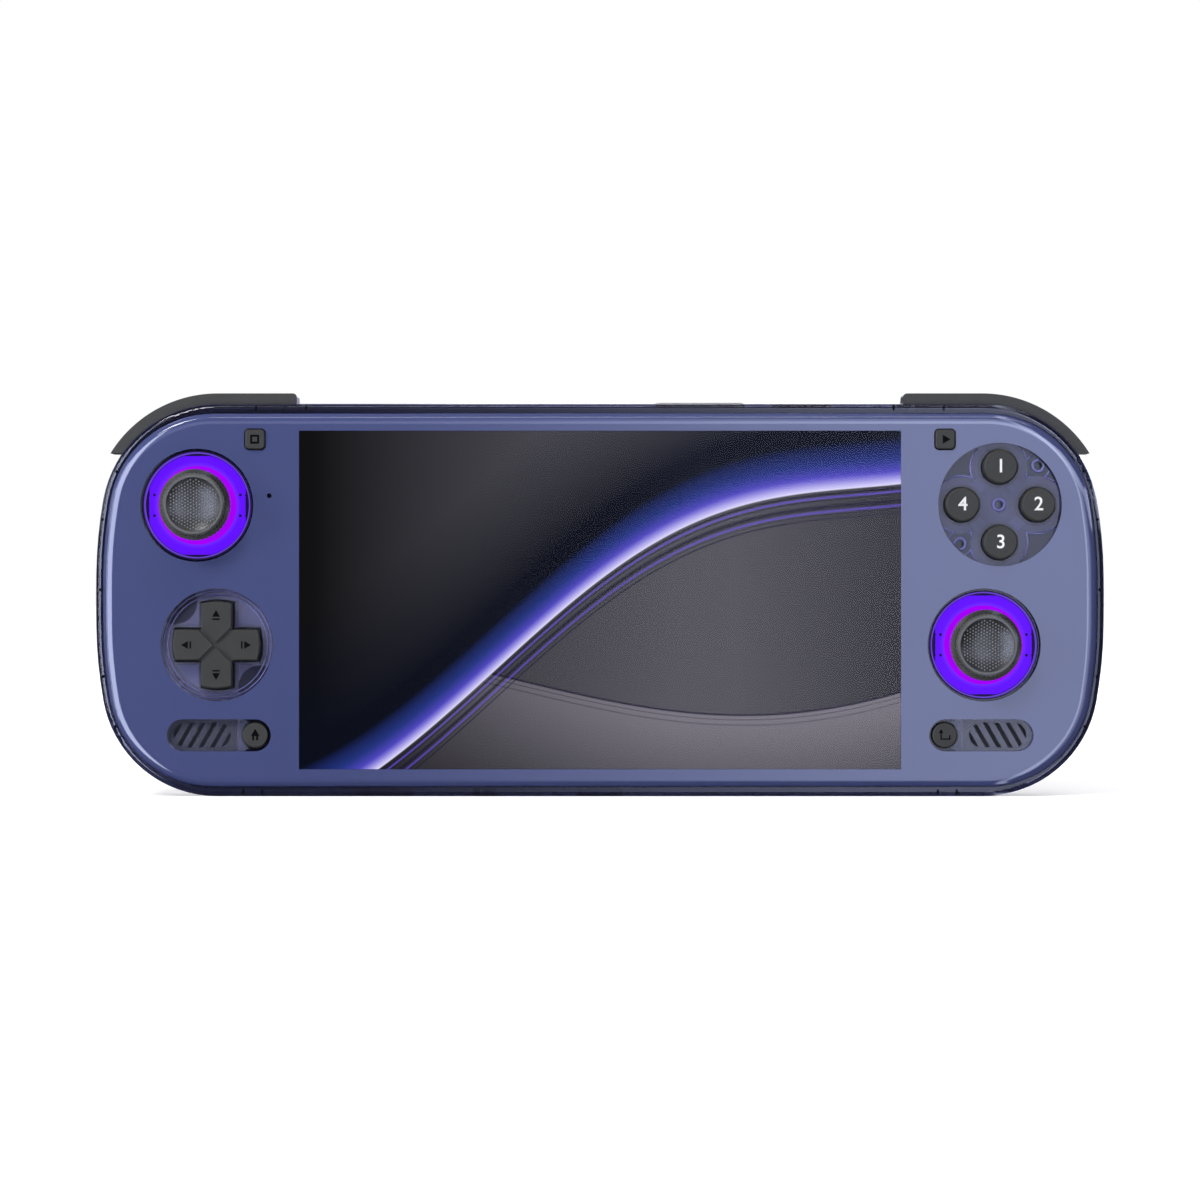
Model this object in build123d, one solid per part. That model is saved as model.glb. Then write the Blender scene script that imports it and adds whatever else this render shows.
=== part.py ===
from build123d import *
import os
from math import cos, radians, sin, sqrt

# A handheld game console with a glass front and a see-through housing.
# Lengths are millimetres and angles are degrees. X runs to the player's right, the screen
# faces -Y, and Z runs up. Front views are drawn as (x, z) from the middle of the housing,
# and the finished pieces are lifted so that the lower edge stands on z = 0.

# Screen and housing
screen_width = 121.8
screen_aspect_share = 9 / 16
control_zone = 41.3
screen_border = 5.54
body_depth = 16.0
flank_radius = 414.0
flank_turn = 0.72
shoulder_radius = 95.0
shoulder_turn = 9.24
wall = 1.6
front_plate = 1.3
parting_from_front = 11.2
front_edge_radius = 1.1
back_edge_radius = 3.6
seam_lip = 0.6
seam_lip_depth = 1.0
overrun = 4.0
touch = 0.001

# Front glass
glass_thickness = 1.4
glass_proud = 0.7
glass_edge_radius = 1.2
glass_side_inset = 1.45
glass_end_inset = 1.95
glass_gap = 0.05

# Display stack
display_margin = 0.9
display_thickness = 1.3
display_gap = 0.2
frame_thickness = 0.8
frame_side_margin = 0.8
frame_end_margin = 5.7
battery_thickness = 8.0
battery_from_screen_side = 8.9
battery_from_top = 7.3
battery_from_board = 4.5
battery_corner = 2.0

# Main board and what it carries
board_thickness = 1.0
board_side_margin = 2.7
board_height = 22.0
board_above_wall = 1.2
board_post_height = 2.0
board_post_radius = 1.7
board_post_inset = 4.5
board_screw_head_radius = 1.1
board_screw_head = 0.5
board_screw_radius = 0.6
board_screw_reach = 1.8
screw_play = 0.05
shield_width = 38.0
shield_height = 14.0
shield_thickness = 1.8
spreader_height = 16.0
spreader_thickness = 1.0

# Sockets on the lower edge
socket_gap = 0.15
jack_from_middle = 23.7
jack_bore_radius = 1.75
jack_bore_depth = 14.0
jack_body_width = 6.2
jack_body_depth = 5.4
jack_recess_radius = 2.4
jack_end = 1.6
jack_cone_depth = 1.2
jack_cone_radius = 0.5
usb_width = 9.0
usb_height = 3.2
usb_depth = 7.4
usb_skin = 0.35
usb_tongue_width = 6.6
usb_tongue = 0.7
usb_tongue_depth = 5.2
usb_back = 1.2
usb_recess = 0.5
card_from_middle = 44.0
card_width = 14.0
card_depth = 15.0
card_height = 1.6
card_skin = 0.3
card_mouth_width = 11.4
card_recess_width = 17.6
card_recess_depth = 0.5
card_recess_height = 2.6

# Thumb sticks
stick_window_radius = 11.45
stick_click = 0.4
stick_pivot_depth = 7.0
dome_radius = 8.8
dome_wall = 0.8
dome_cover_angle = 80.0
cap_radius = 7.2
cap_top_radius = 6.3
cap_hollow_radius = 5.45
cap_hollow_depth = 0.7
cap_height = 3.2
cap_proud = 5.9
cap_teeth = 48
cap_tooth_depth = 0.35
neck_radius = 3.4
ring_outer_radius = 11.0
ring_band_inner_radius = 8.0
ring_band_outer_radius = 9.9
ring_lip_radius = 7.2
ring_rim_inner_radius = 10.5
ring_front_below_glass = 0.8
ring_step = 0.4
ring_lip_drop = 0.3
ring_flange_radius = 11.4
ring_flange = 0.7
ring_relief = 0.9
ring_gap = 0.05
stem_radius = 2.2
post_radius = 1.2
running_gap = 0.05
yoke_width = 3.2
yoke_height = 4.2
yoke_thickness = 1.8
rocker_side_gap = 0.4
rocker_end_gap = 1.0
rocker_bar = 0.9
axle_radius = 0.9
yoke_pin_radius = 0.55
housing_size = 10.0
housing_wall = 0.8
housing_corner = 1.2
housing_above_pivot = 2.2
housing_below_pivot = 4.5
stick_board_thickness = 1.0
stick_board_reach = 14.8
stick_board_depth = 7.6
stick_post_distance = 13.1
stick_post_radius = 1.5

# Direction pad
pad_window_radius = 11.4
pad_span = 17.6
pad_arm = 6.2
pad_end_bulge = 0.5
pad_proud = 1.4
pad_gap = 0.45
pad_flange_margin = 1.0
pad_flange = 0.7
pad_flange_gap = 1.1
pad_groove = 0.5
pad_groove_width = 0.9
pad_ball_radius = 1.5
pad_ball_depth = 5.6
pad_hub_radius = 2.6
pad_dome_distance = 6.2

# Face buttons
face_window_radius = 12.5
face_distance = 7.65
face_radius = 3.5
face_gap = 0.2
face_proud = 1.6
face_edge = 0.5
face_flange_radius = 4.3
face_flange = 0.8
face_stem_radius = 2.4
face_travel = 1.0
collar_gap = 0.3
collar_wall = 0.9
collar_depth = 2.0
boss_radius = 1.5
boss_hole_radius = 0.7
boss_from_centre = 7.93

# Boards of the control clusters
control_board_inset = 4.4

# Rubber mats under the buttons
mat_thickness = 0.4
mat_dome_base = 2.5
mat_dome_top = 1.7
mat_margin = 1.0

# Small buttons on the front
square_button = 4.0
square_corner = 0.8
square_proud = 0.5
round_button_radius = 2.55
round_proud = 0.0
small_gap = 0.2
small_edge = 0.3
small_flange_margin = 0.6
small_flange = 0.6
small_stem_radius = 1.0
small_travel = 0.45
switch_base = 3.0
switch_body = 0.8
switch_dome_radius = 1.0
switch_dome = 0.4
mic_radius = 0.5

# Speaker openings
pill_width = 21.1
pill_height = 6.5
slot_width = 0.85
slot_pitch = 2.3
slot_lean = 30.0
slot_count = 6
grille_width = 11.6
grille_height = 5.0
grille_from_pill_middle = 3.5
round_button_from_pill_middle = 7.4
speaker_width = 14.0
speaker_height = 8.0
speaker_depth = 3.0
mesh_thickness = 0.2

# Keys on the top edge
key_depth = 2.8
key_gap = 0.15
key_flange_margin = 0.9
key_flange = 0.6
volume_length = 18.3
volume_from_middle = 20.4
volume_proud = 0.5
volume_stem_distance = 6.0
power_length = 10.4
power_from_middle = 41.2
power_proud = 0.1
power_travel = 0.3
key_stem_radius = 0.9
key_board_drop = 3.9
key_board_thickness = 0.8
key_board_margin = 2.0
key_board_depth = 6.0

# Shoulder buttons and triggers
bumper_thickness = 2.2
bumper_inside = 0.4
bumper_from_screen = 0.7
bumper_outer_drop = 10.0
bumper_edge = 0.8
bumper_pocket = 1.5
bumper_from_front = 3.0
bumper_depth = 6.0
bumper_end_gap = 1.0
bumper_lug = 3.4
bumper_lug_radius = 1.5
divider = 0.8
divider_gap = 0.2
pin_radius = 0.7
pin_seat = 1.0
pocket_skin = 1.1
trigger_thickness = 2.6
trigger_inside = 0.3
trigger_pocket = 2.2
trigger_back_gap = 2.2
trigger_paddle = 3.7
trigger_edge = 1.6
trigger_corner = 1.2
trigger_paddle_step = 5.8
trigger_lip_drop = 13.3
trigger_groove_radius = 16.0
trigger_groove_depth = 1.3
trigger_pivot_drop = 6.2
trigger_pivot_from_parting = 2.0
trigger_hub_radius = 1.7
trigger_hub_length = 14.0
trigger_hub_from_end = 8.2
trigger_hub_gap = 0.3
trigger_swing_gap = 0.95

# Screws through the back
case_screw_head_radius = 1.6
case_screw_head = 1.0
case_screw_radius = 0.75
case_screw_sunk = 0.4
case_boss_radius = 1.9
case_screw_bite = 4.0
case_boss_gap = 0.1
high_screws_from_middle = (-45.1, -16.1, 32.6)

# Places of the controls, as (share of the control zone from the side, share of half the
# height above the middle)
left_stick_share = (0.499, 0.482)
pad_share = (0.598, -0.228)
select_share = (0.7845, 0.8166)
mic_share = (0.8547, 0.530)
pill_share = (0.6065, -0.688)
face_share = (0.5157, 0.485)
right_stick_share = (0.593, -0.2286)
low_screw_share = (0.259, -0.691)
mid_screw_share = (0.857, 0.126)

# Sizes that follow from those above
screen_height = screen_width * screen_aspect_share
body_width = screen_width + 2 * control_zone
body_height = screen_height + 2 * screen_border
half_width = body_width / 2
half_height = body_height / 2
glass_front = -body_depth / 2
glass_back = glass_front + glass_thickness
rim_front = glass_front + glass_proud
plate_back = glass_back + front_plate
back_face = body_depth / 2
back_inside = back_face - wall
parting = glass_front + parting_from_front
display_back = glass_back + display_thickness
frame_back = display_back + frame_thickness
board_front = frame_back + board_post_height
board_back = board_front + board_thickness
board_low = wall - half_height + board_above_wall
frame_half_width = screen_width / 2 + frame_side_margin
board_half_width = frame_half_width - board_side_margin
stick_pivot = glass_front + stick_pivot_depth
rocker_width = housing_size - 2 * (housing_wall + rocker_side_gap)
rocker_height = housing_size - 2 * (housing_wall + rocker_end_gap)
mat_front = board_front
control_board_front = mat_front + mat_thickness
control_board_back = control_board_front + board_thickness
bumper_front = glass_front + bumper_from_front
bumper_back = bumper_front + bumper_depth
bumper_inner_end = screen_width / 2 + bumper_from_screen
bumper_outer_rise = half_height - bumper_outer_drop
trigger_lip_rise = half_height - trigger_lip_drop
divider_front = bumper_back + divider_gap
divider_back = divider_front + divider
trigger_front = divider_back + trigger_swing_gap
trigger_inner_back = back_face + trigger_back_gap
trigger_back = trigger_inner_back + trigger_paddle
trigger_pivot_y = parting + trigger_pivot_from_parting
trigger_pivot_z = half_height - trigger_pivot_drop


# Turns a pair of shares into a place on the front, on the left (-1) or right (+1) side
def place(shares, side):
    from_side, above_middle = shares
    return side * (half_width - from_side * control_zone), above_middle * half_height


left_stick_place = place(left_stick_share, -1)
right_stick_place = place(right_stick_share, 1)
pad_place = place(pad_share, -1)
face_place = place(face_share, 1)
select_place = place(select_share, -1)
start_place = place(select_share, 1)
left_pill_place = place(pill_share, -1)
right_pill_place = place(pill_share, 1)
home_place = left_pill_place[0] + round_button_from_pill_middle, left_pill_place[1]
back_button_place = right_pill_place[0] - round_button_from_pill_middle, right_pill_place[1]
mic_place = place(mic_share, -1)


# A front-view drawing pushed from one depth to another
def slab(drawing, front, back):
    plane = Plane(origin=(0, back, 0), x_dir=(1, 0, 0), z_dir=(0, -1, 0))
    return extrude(plane * drawing, amount=back - front)


# A drawing seen from above (x, y) pushed from one height to another
def layer(drawing, low, high):
    return extrude(Plane.XY.offset(low) * drawing, amount=high - low)


# A round bar along Y
def bar_y(spot, radius, front, back):
    return slab(Pos(*spot) * Circle(radius), front, back)


# A round bar along X
def bar_x(start, end, depth, height, radius):
    plane = Plane(origin=(start, depth, height), x_dir=(0, 1, 0), z_dir=(1, 0, 0))
    return extrude(plane * Circle(radius), amount=end - start)


# A round bar along Z
def bar_z(spot, radius, low, high):
    return layer(Pos(*spot) * Circle(radius), low, high)


# A profile of (radius, depth) points turned about an axis along Y
def turned(points, spot, smooth=None):
    profile = Polyline(*points, close=True) if smooth is None else smooth
    face = make_face(Plane.XY * profile)
    ring = revolve(face, axis=Axis.Y)
    return Pos(spot[0], 0, spot[1]) * ring


# Edges of a solid that lie flat at one depth
def edges_at_depth(solid, depth):
    return solid.edges().filter_by_position(Axis.Y, depth - touch, depth + touch)


# Edges of a solid that lie flat at one height
def edges_at_height(solid, height):
    return solid.edges().filter_by_position(Axis.Z, height - touch, height + touch)


# The outline of the housing, drawn inwards by an inset at the sides and at the ends.
# Each quarter is a large corner arc that eases into a shoulder and a slow flank.
def outline(side_inset, end_inset=None):
    top_inset = side_inset if end_inset is None else end_inset
    width = half_width - side_inset
    height = half_height - top_inset
    flank = flank_radius - side_inset
    shoulder = shoulder_radius - side_inset
    low_turn = radians(flank_turn)
    high_turn = radians(flank_turn + shoulder_turn)
    rise = flank * sin(low_turn) + shoulder * (sin(high_turn) - sin(low_turn))
    corner = (height - rise) / (1 - sin(high_turn))
    reach = flank * (1 - cos(low_turn)) + shoulder * (cos(low_turn) - cos(high_turn))
    straight = width - reach - corner * cos(high_turn)
    corner_turn = 90 - flank_turn - shoulder_turn
    top = Line((0, height), (straight, height))
    bend = JernArc(top @ 1, top % 1, corner, -corner_turn)
    ease = JernArc(bend @ 1, bend % 1, shoulder, -shoulder_turn)
    side = JernArc(ease @ 1, ease % 1, flank, -flank_turn)
    quarter = [top, bend, ease, side]
    right = quarter + [mirror(edge, Plane.XZ) for edge in quarter]
    whole = right + [mirror(edge, Plane.YZ) for edge in right]
    return make_face(Curve() + whole)


# A rectangle on the front, given by its left, right, low and high sides
def window(left, right, low, high):
    return Pos((left + right) / 2, (low + high) / 2) * Rectangle(right - left, high - low)


# Mirrors a piece of the left side to the right
def to_side(solid, side):
    return solid if side < 0 else mirror(solid, Plane.YZ)


# Zones of the shoulder buttons on the left side
shoulder_zone = window(-half_width - overrun, -bumper_inner_end, bumper_outer_rise,
                       half_height + overrun)
pocket_zone = window(-half_width - overrun, -bumper_inner_end + bumper_end_gap,
                     bumper_outer_rise - bumper_end_gap, half_height + overrun)
skin_zone = window(-half_width - overrun, -bumper_inner_end + bumper_end_gap + pocket_skin,
                   bumper_outer_rise - bumper_end_gap - pocket_skin, half_height + overrun)
lug_place = (-bumper_inner_end - bumper_lug / 2, half_height - bumper_lug / 2 + bumper_inside)
hub_right = -bumper_inner_end - trigger_hub_from_end
hub_left = hub_right - trigger_hub_length
hub_low = trigger_pivot_z - trigger_hub_radius - trigger_hub_gap


# The room that the left shoulder button and trigger need, grown by a skin for the walls
def shoulder_room(skin):
    zone = pocket_zone if skin == 0 else skin_zone
    shallow = (zone & outline(-overrun)) - outline(bumper_pocket + skin)
    deep = (zone & outline(-overrun)) - outline(trigger_pocket + skin)
    lug = window(lug_place[0] - bumper_lug_radius - divider_gap - skin,
                 -bumper_inner_end + bumper_end_gap + skin,
                 lug_place[1] - bumper_lug_radius - divider_gap - skin, half_height + overrun)
    hub = window(hub_left - trigger_hub_gap - skin, hub_right + trigger_hub_gap + skin,
                 hub_low - skin, half_height + overrun)
    front_room = slab(shallow + lug, bumper_front - divider_gap - skin, divider_front + skin)
    back_room = slab(deep + hub, divider_back - skin, back_face + overrun)
    return front_room + back_room


# The speaker slots of the left side, as a drawing
def grille_slots():
    centre = left_pill_place[0] - grille_from_pill_middle, left_pill_place[1]
    field = Pos(*centre) * SlotOverall(grille_width, grille_height)
    slots = Sketch()
    for number in range(slot_count):
        offset = (number - (slot_count - 1) / 2) * slot_pitch
        slot = Rectangle(slot_width, grille_height * 2)
        slots += Pos(centre[0] + offset, centre[1]) * Rot(0, 0, -slot_lean) * slot
    return slots & field


# The cross of the direction pad with bowed arm ends, grown by a margin
def pad_cross(margin):
    half_arm = pad_arm / 2 + margin
    half_span = pad_span / 2 + margin
    shoulder = half_span - pad_end_bulge
    arm = make_face(Curve() + [
        Line((-half_arm, 0), (-half_arm, shoulder)),
        ThreePointArc((-half_arm, shoulder), (0, half_span), (half_arm, shoulder)),
        Line((half_arm, shoulder), (half_arm, 0)),
        Line((half_arm, 0), (-half_arm, 0)),
    ])
    cross = Rectangle(2 * half_arm, 2 * half_arm)
    for turn in range(4):
        cross += Rot(0, 0, 90 * turn) * arm
    return cross


# Centres of the four face buttons, from the top one round to the right
def face_spots():
    x, z = face_place
    return [(x, z + face_distance), (x + face_distance, z),
            (x, z - face_distance), (x - face_distance, z)]


# Screw bosses in the face button window
def face_boss_spots():
    x, z = face_place
    return [(x, z), (x + boss_from_centre, z + boss_from_centre),
            (x - boss_from_centre, z - boss_from_centre)]


# Posts that carry a stick's board: left, right, and one below or above the stick
def stick_post_spots(spot, third):
    x, z = spot
    return [(x - stick_post_distance, z), (x + stick_post_distance, z),
            (x, z + third * stick_post_distance)]


stick_sites = [("left", left_stick_place, -1), ("right", right_stick_place, 1)]
case_screw_spots = [place(low_screw_share, -1), place(low_screw_share, 1),
                    place(mid_screw_share, -1), place(mid_screw_share, 1)]
case_screw_spots += [(x, half_height - wall - case_boss_radius)
                     for x in high_screws_from_middle]
pad_boss_spots = [(pad_place[0] - boss_from_centre, pad_place[1] - boss_from_centre),
                  (pad_place[0] - boss_from_centre, pad_place[1] + boss_from_centre),
                  (pad_place[0] + boss_from_centre, pad_place[1] - boss_from_centre)]
main_board_left = -board_half_width
main_board_high = board_low + board_height
board_screw_spots = [(side * (board_half_width - board_post_inset), height)
                     for side in (-1, 1)
                     for height in (board_low + board_post_inset,
                                    main_board_high - board_post_inset)]


# Openings of the control windows in the glass
def glass_windows():
    cuts = Pos(*left_stick_place) * Circle(stick_window_radius)
    cuts += Pos(*right_stick_place) * Circle(stick_window_radius)
    cuts += Pos(*pad_place) * Circle(pad_window_radius)
    cuts += Pos(*face_place) * Circle(face_window_radius)
    cuts += Pos(*mic_place) * Circle(mic_radius)
    opening = square_button + 2 * small_gap
    for spot in (select_place, start_place):
        cuts += Pos(*spot) * RectangleRounded(opening, opening, square_corner + small_gap)
    for side in (-1, 1):
        cuts += Pos(*place(pill_share, side)) * SlotOverall(pill_width, pill_height)
    return cuts


# The cover glass: one plate with a rounded front edge and the control windows
def front_glass():
    plate = slab(outline(glass_side_inset, glass_end_inset), glass_front, glass_back)
    plate = fillet(edges_at_depth(plate, glass_front), glass_edge_radius)
    return plate - slab(glass_windows(), glass_front - overrun, glass_back + overrun)


# Openings of the moving controls in the plate under the glass
def plate_windows():
    cuts = Pos(*left_stick_place) * Circle(ring_outer_radius + ring_gap)
    cuts += Pos(*right_stick_place) * Circle(ring_outer_radius + ring_gap)
    cuts += Pos(*pad_place) * pad_cross(pad_gap)
    cuts += Pos(*mic_place) * Circle(mic_radius)
    for spot in face_spots():
        cuts += Pos(*spot) * Circle(face_radius + face_gap)
    opening = square_button + 2 * small_gap
    for spot in (select_place, start_place):
        cuts += Pos(*spot) * RectangleRounded(opening, opening, square_corner + small_gap)
    for spot in (home_place, back_button_place):
        cuts += Pos(*spot) * Circle(round_button_radius + small_gap)
    for spot in face_boss_spots():
        cuts += Pos(*spot) * Circle(boss_hole_radius)
    slots = grille_slots()
    cuts += slots + mirror(slots, Plane.YZ)
    cuts += Rectangle(screen_width + 2 * (display_margin + display_gap),
                      screen_height + 2 * (display_margin + display_gap))
    return cuts


# The walls of the four face button guides, merged into one ridge
def face_ridge():
    outer = Sketch()
    inner = Sketch()
    guide = face_flange_radius + collar_gap
    for spot in face_spots():
        outer += Pos(*spot) * Circle(guide + collar_wall)
        inner += Pos(*spot) * Circle(guide)
    return outer - inner


# Openings through the walls for the sockets on the lower edge
def socket_cuts():
    low = -half_height - overrun
    high = -half_height + wall + overrun / 2
    usb_middle = board_back + usb_height / 2
    jack = bar_z((-jack_from_middle, 0), jack_recess_radius, low, high)
    usb = layer(Pos(0, usb_middle) * RectangleRounded(usb_width + 2 * socket_gap,
                usb_height + 2 * socket_gap, usb_height / 2), low, high)
    card_middle = board_back + card_height / 2
    card = layer(Pos(-card_from_middle, card_middle)
                 * Rectangle(card_mouth_width, card_height), low, high)
    recess = layer(Pos(-card_from_middle, card_middle)
                   * Rectangle(card_recess_width, card_recess_height), low,
                   -half_height + card_recess_depth)
    return jack + usb + card + recess


# Openings through the top wall for the volume and power keys
def key_cuts():
    cuts = Pos(volume_from_middle, 0) * SlotOverall(volume_length + 2 * key_gap,
                                                   key_depth + 2 * key_gap)
    cuts += Pos(power_from_middle, 0) * SlotOverall(power_length + 2 * key_gap,
                                                   key_depth + 2 * key_gap)
    return layer(cuts, half_height - wall - overrun / 2, half_height + overrun)


# Room for the shoulder controls and their pins, on both sides
def both_rooms(skin):
    left = shoulder_room(skin)
    return left + mirror(left, Plane.YZ)


# Holes that hold the pins of the shoulder buttons and triggers
def pin_holes():
    bumper = bar_y(lug_place, pin_radius, bumper_front - divider_gap - pin_seat,
                   divider_back)
    trigger = bar_x(hub_left - trigger_hub_gap - pocket_skin,
                    hub_right + trigger_hub_gap + pocket_skin,
                    trigger_pivot_y, trigger_pivot_z, pin_radius)
    left = bumper + trigger
    return left + mirror(left, Plane.YZ)


# The front half of the housing: rim, plate under the glass, side walls, guides and posts
def front_shell():
    body = slab(outline(0), rim_front, parting)
    body = fillet(edges_at_depth(body, rim_front), front_edge_radius)
    body -= slab(outline(glass_side_inset - glass_gap, glass_end_inset - glass_gap),
                 rim_front - overrun, glass_back)
    hollow = slab(outline(wall), plate_back, parting + overrun)
    hollow -= both_rooms(pocket_skin)
    body -= hollow
    body -= slab(outline(wall - seam_lip), parting - seam_lip_depth, parting + overrun) & (
        slab(outline(-overrun), parting - seam_lip_depth, parting + overrun)
        - both_rooms(pocket_skin))
    body -= both_rooms(0)
    body -= slab(plate_windows(), glass_front, plate_back + overrun / 2)
    posts = Part()
    for name, spot, side in stick_sites:
        for post in stick_post_spots(spot, side):
            posts += bar_y(post, stick_post_radius, plate_back,
                           stick_pivot + housing_below_pivot)
    for post in face_boss_spots() + pad_boss_spots:
        posts += bar_y(post, boss_radius, plate_back, control_board_front)
    for post in case_screw_spots:
        posts += bar_y(post, case_boss_radius, plate_back, parting - case_boss_gap)
    posts += slab(face_ridge(), plate_back, plate_back + collar_depth)
    body += posts
    holes = Part()
    for name, spot, side in stick_sites:
        for post in stick_post_spots(spot, side):
            holes += bar_y(post, board_screw_radius, stick_pivot + housing_below_pivot
                           - board_screw_reach, parting + overrun)
    for post in face_boss_spots() + pad_boss_spots:
        holes += bar_y(post, board_screw_radius, control_board_front - board_screw_reach,
                       control_board_front + overrun / 2)
    for post in case_screw_spots:
        holes += bar_y(post, case_screw_radius, parting - case_boss_gap - case_screw_bite,
                       parting + overrun)
    return body - holes - socket_cuts() - key_cuts() - pin_holes()


# The back half of the housing, with its bosses and sunk screw heads
def back_shell():
    body = slab(outline(0), parting, back_face)
    body = fillet(edges_at_depth(body, back_face), back_edge_radius)
    hollow = slab(outline(wall), parting - overrun, back_inside)
    hollow = fillet(edges_at_depth(hollow, back_inside), back_edge_radius - wall)
    hollow -= both_rooms(pocket_skin)
    body -= hollow
    lip = slab(outline(wall - seam_lip + glass_gap) - outline(wall),
               parting - seam_lip_depth + glass_gap, parting)
    body += lip - both_rooms(pocket_skin + glass_gap)
    body -= both_rooms(0)
    for spot in case_screw_spots:
        body += bar_y(spot, case_boss_radius, parting, back_inside)
    for spot in case_screw_spots:
        head_seat = back_face - case_screw_sunk - case_screw_head
        body -= bar_y(spot, case_screw_radius + screw_play, parting - overrun, back_face)
        body -= bar_y(spot, case_screw_head_radius + screw_play, head_seat, back_face
                      + overrun)
    return body - pin_holes()


# Screws that hold the two halves together
def case_screws():
    screws = []
    for spot in case_screw_spots:
        head_front = back_face - case_screw_sunk - case_screw_head
        head = bar_y(spot, case_screw_head_radius, head_front, head_front + case_screw_head)
        shank = bar_y(spot, case_screw_radius - screw_play,
                      parting - case_boss_gap - case_screw_bite, head_front)
        screws.append(head + shank)
    return screws


# The display module behind the glass
def display_panel():
    width = screen_width + 2 * display_margin
    height = screen_height + 2 * display_margin
    return slab(Rectangle(width, height), glass_back, display_back)


frame_half_height = half_height - frame_end_margin
key_board_top = half_height - wall - key_board_drop
key_board_left = volume_from_middle - volume_length / 2 - key_board_margin
key_board_right = power_from_middle + power_length / 2 + key_board_margin
key_tab_top = key_board_top - key_board_thickness


# The metal frame behind the display, with posts for the main board and a bent tab
# that carries the top key board
def mid_frame():
    plate = window(-frame_half_width, frame_half_width, -frame_half_height,
                   frame_half_height)
    frame = slab(plate, display_back, frame_back)
    for spot in board_screw_spots:
        frame += bar_y(spot, board_post_radius, frame_back, board_front)
    tab = window(key_board_left, key_board_right, key_tab_top - frame_thickness,
                 key_tab_top)
    frame += slab(tab, display_back, frame_back + board_post_height + key_board_depth)
    for spot in board_screw_spots:
        frame -= bar_y(spot, board_screw_radius, board_front - board_screw_reach,
                       board_front)
    return frame


# The battery pack, bonded to the frame
def battery_pack():
    side = screen_width / 2 - battery_from_screen_side
    drawing = window(-side, side, main_board_high + battery_from_board,
                     half_height - battery_from_top)
    pack = slab(drawing, frame_back, frame_back + battery_thickness)
    return fillet(pack.edges().filter_by(Axis.Z), battery_corner)


# The main board with notches for the sockets
def main_board():
    drawing = window(main_board_left, -main_board_left, board_low, main_board_high)
    jack_top = -half_height + wall + jack_bore_depth + jack_end
    drawing -= window(-jack_from_middle - jack_body_width / 2 - socket_gap,
                      -jack_from_middle + jack_body_width / 2 + socket_gap,
                      board_low - overrun, jack_top + socket_gap)
    for spot in board_screw_spots:
        drawing -= Pos(*spot) * Circle(board_screw_radius + screw_play)
    return slab(drawing, board_front, board_back)


# The can over the processor and the plate that spreads its heat
def processor_shield():
    middle = (board_low + main_board_high) / 2
    offset = shield_width / 2 + usb_width
    can = slab(Pos(offset, middle) * Rectangle(shield_width, shield_height), board_back,
               board_back + shield_thickness)
    return fillet(can.edges().filter_by(Axis.Y), wall / 2)


def heat_spreader():
    low = (board_low + main_board_high) / 2 - shield_height / 2
    width = half_width - control_zone
    drawing = window(usb_width, width - board_post_inset * 2, low, low + spreader_height)
    back = board_back + shield_thickness
    return slab(drawing, back, back + spreader_thickness)


# The headphone socket, with an open bore that ends in a cone for the plug's tip
def headphone_socket():
    low = -half_height + wall
    high = low + jack_bore_depth + jack_end
    body = layer(Pos(-jack_from_middle, 0) * Rectangle(jack_body_width, jack_body_depth),
                 low, high)
    body += bar_z((-jack_from_middle, 0), jack_recess_radius - socket_gap,
                  low - wall / 2, low)
    body -= bar_z((-jack_from_middle, 0), jack_bore_radius, low - wall, low + jack_bore_depth)
    cone = Cone(jack_bore_radius, jack_cone_radius, jack_cone_depth)
    return body - Pos(-jack_from_middle, 0, low + jack_bore_depth + jack_cone_depth / 2) * cone


# The charging socket: a rounded sleeve with a tongue
def charging_socket():
    middle = board_back + usb_height / 2
    low = -half_height + usb_recess
    high = low + usb_depth
    corner = usb_height / 2 - usb_skin / 2
    sleeve = layer(Pos(0, middle) * RectangleRounded(usb_width, usb_height, corner), low,
                   high)
    inner = RectangleRounded(usb_width - 2 * usb_skin, usb_height - 2 * usb_skin,
                             corner - usb_skin)
    sleeve -= layer(Pos(0, middle) * inner, low - overrun, high - usb_back)
    tongue = layer(Pos(0, middle) * Rectangle(usb_tongue_width, usb_tongue),
                   high - usb_back - usb_tongue_depth, high - usb_back)
    return sleeve + tongue


# The memory card holder, a flat sleeve open to the lower edge
def card_holder():
    low = -half_height + wall
    middle = board_back + card_height / 2
    sleeve = layer(Pos(-card_from_middle, middle) * Rectangle(card_width, card_height), low,
                   low + card_depth)
    inner = layer(Pos(-card_from_middle, middle)
                  * Rectangle(card_mouth_width, card_height - 2 * card_skin),
                  low - overrun, low + card_depth - card_skin)
    return sleeve - inner


# A lit ring round a stick: a flat band with an inner lip and a raised rim
def ring_light(spot):
    front = glass_front + ring_front_below_glass + ring_step
    rim = front - ring_step
    lip = front + ring_lip_drop
    back = plate_back + ring_flange
    points = [
        (ring_band_inner_radius, front), (ring_band_outer_radius, front),
        (ring_band_outer_radius, front + ring_step),
        (ring_rim_inner_radius, front + ring_step), (ring_rim_inner_radius, rim),
        (ring_outer_radius, rim), (ring_outer_radius, plate_back),
        (ring_flange_radius, plate_back), (ring_flange_radius, back),
        (ring_band_inner_radius + ring_relief, back), (ring_lip_radius, lip),
    ]
    return turned(points, spot)


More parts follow.
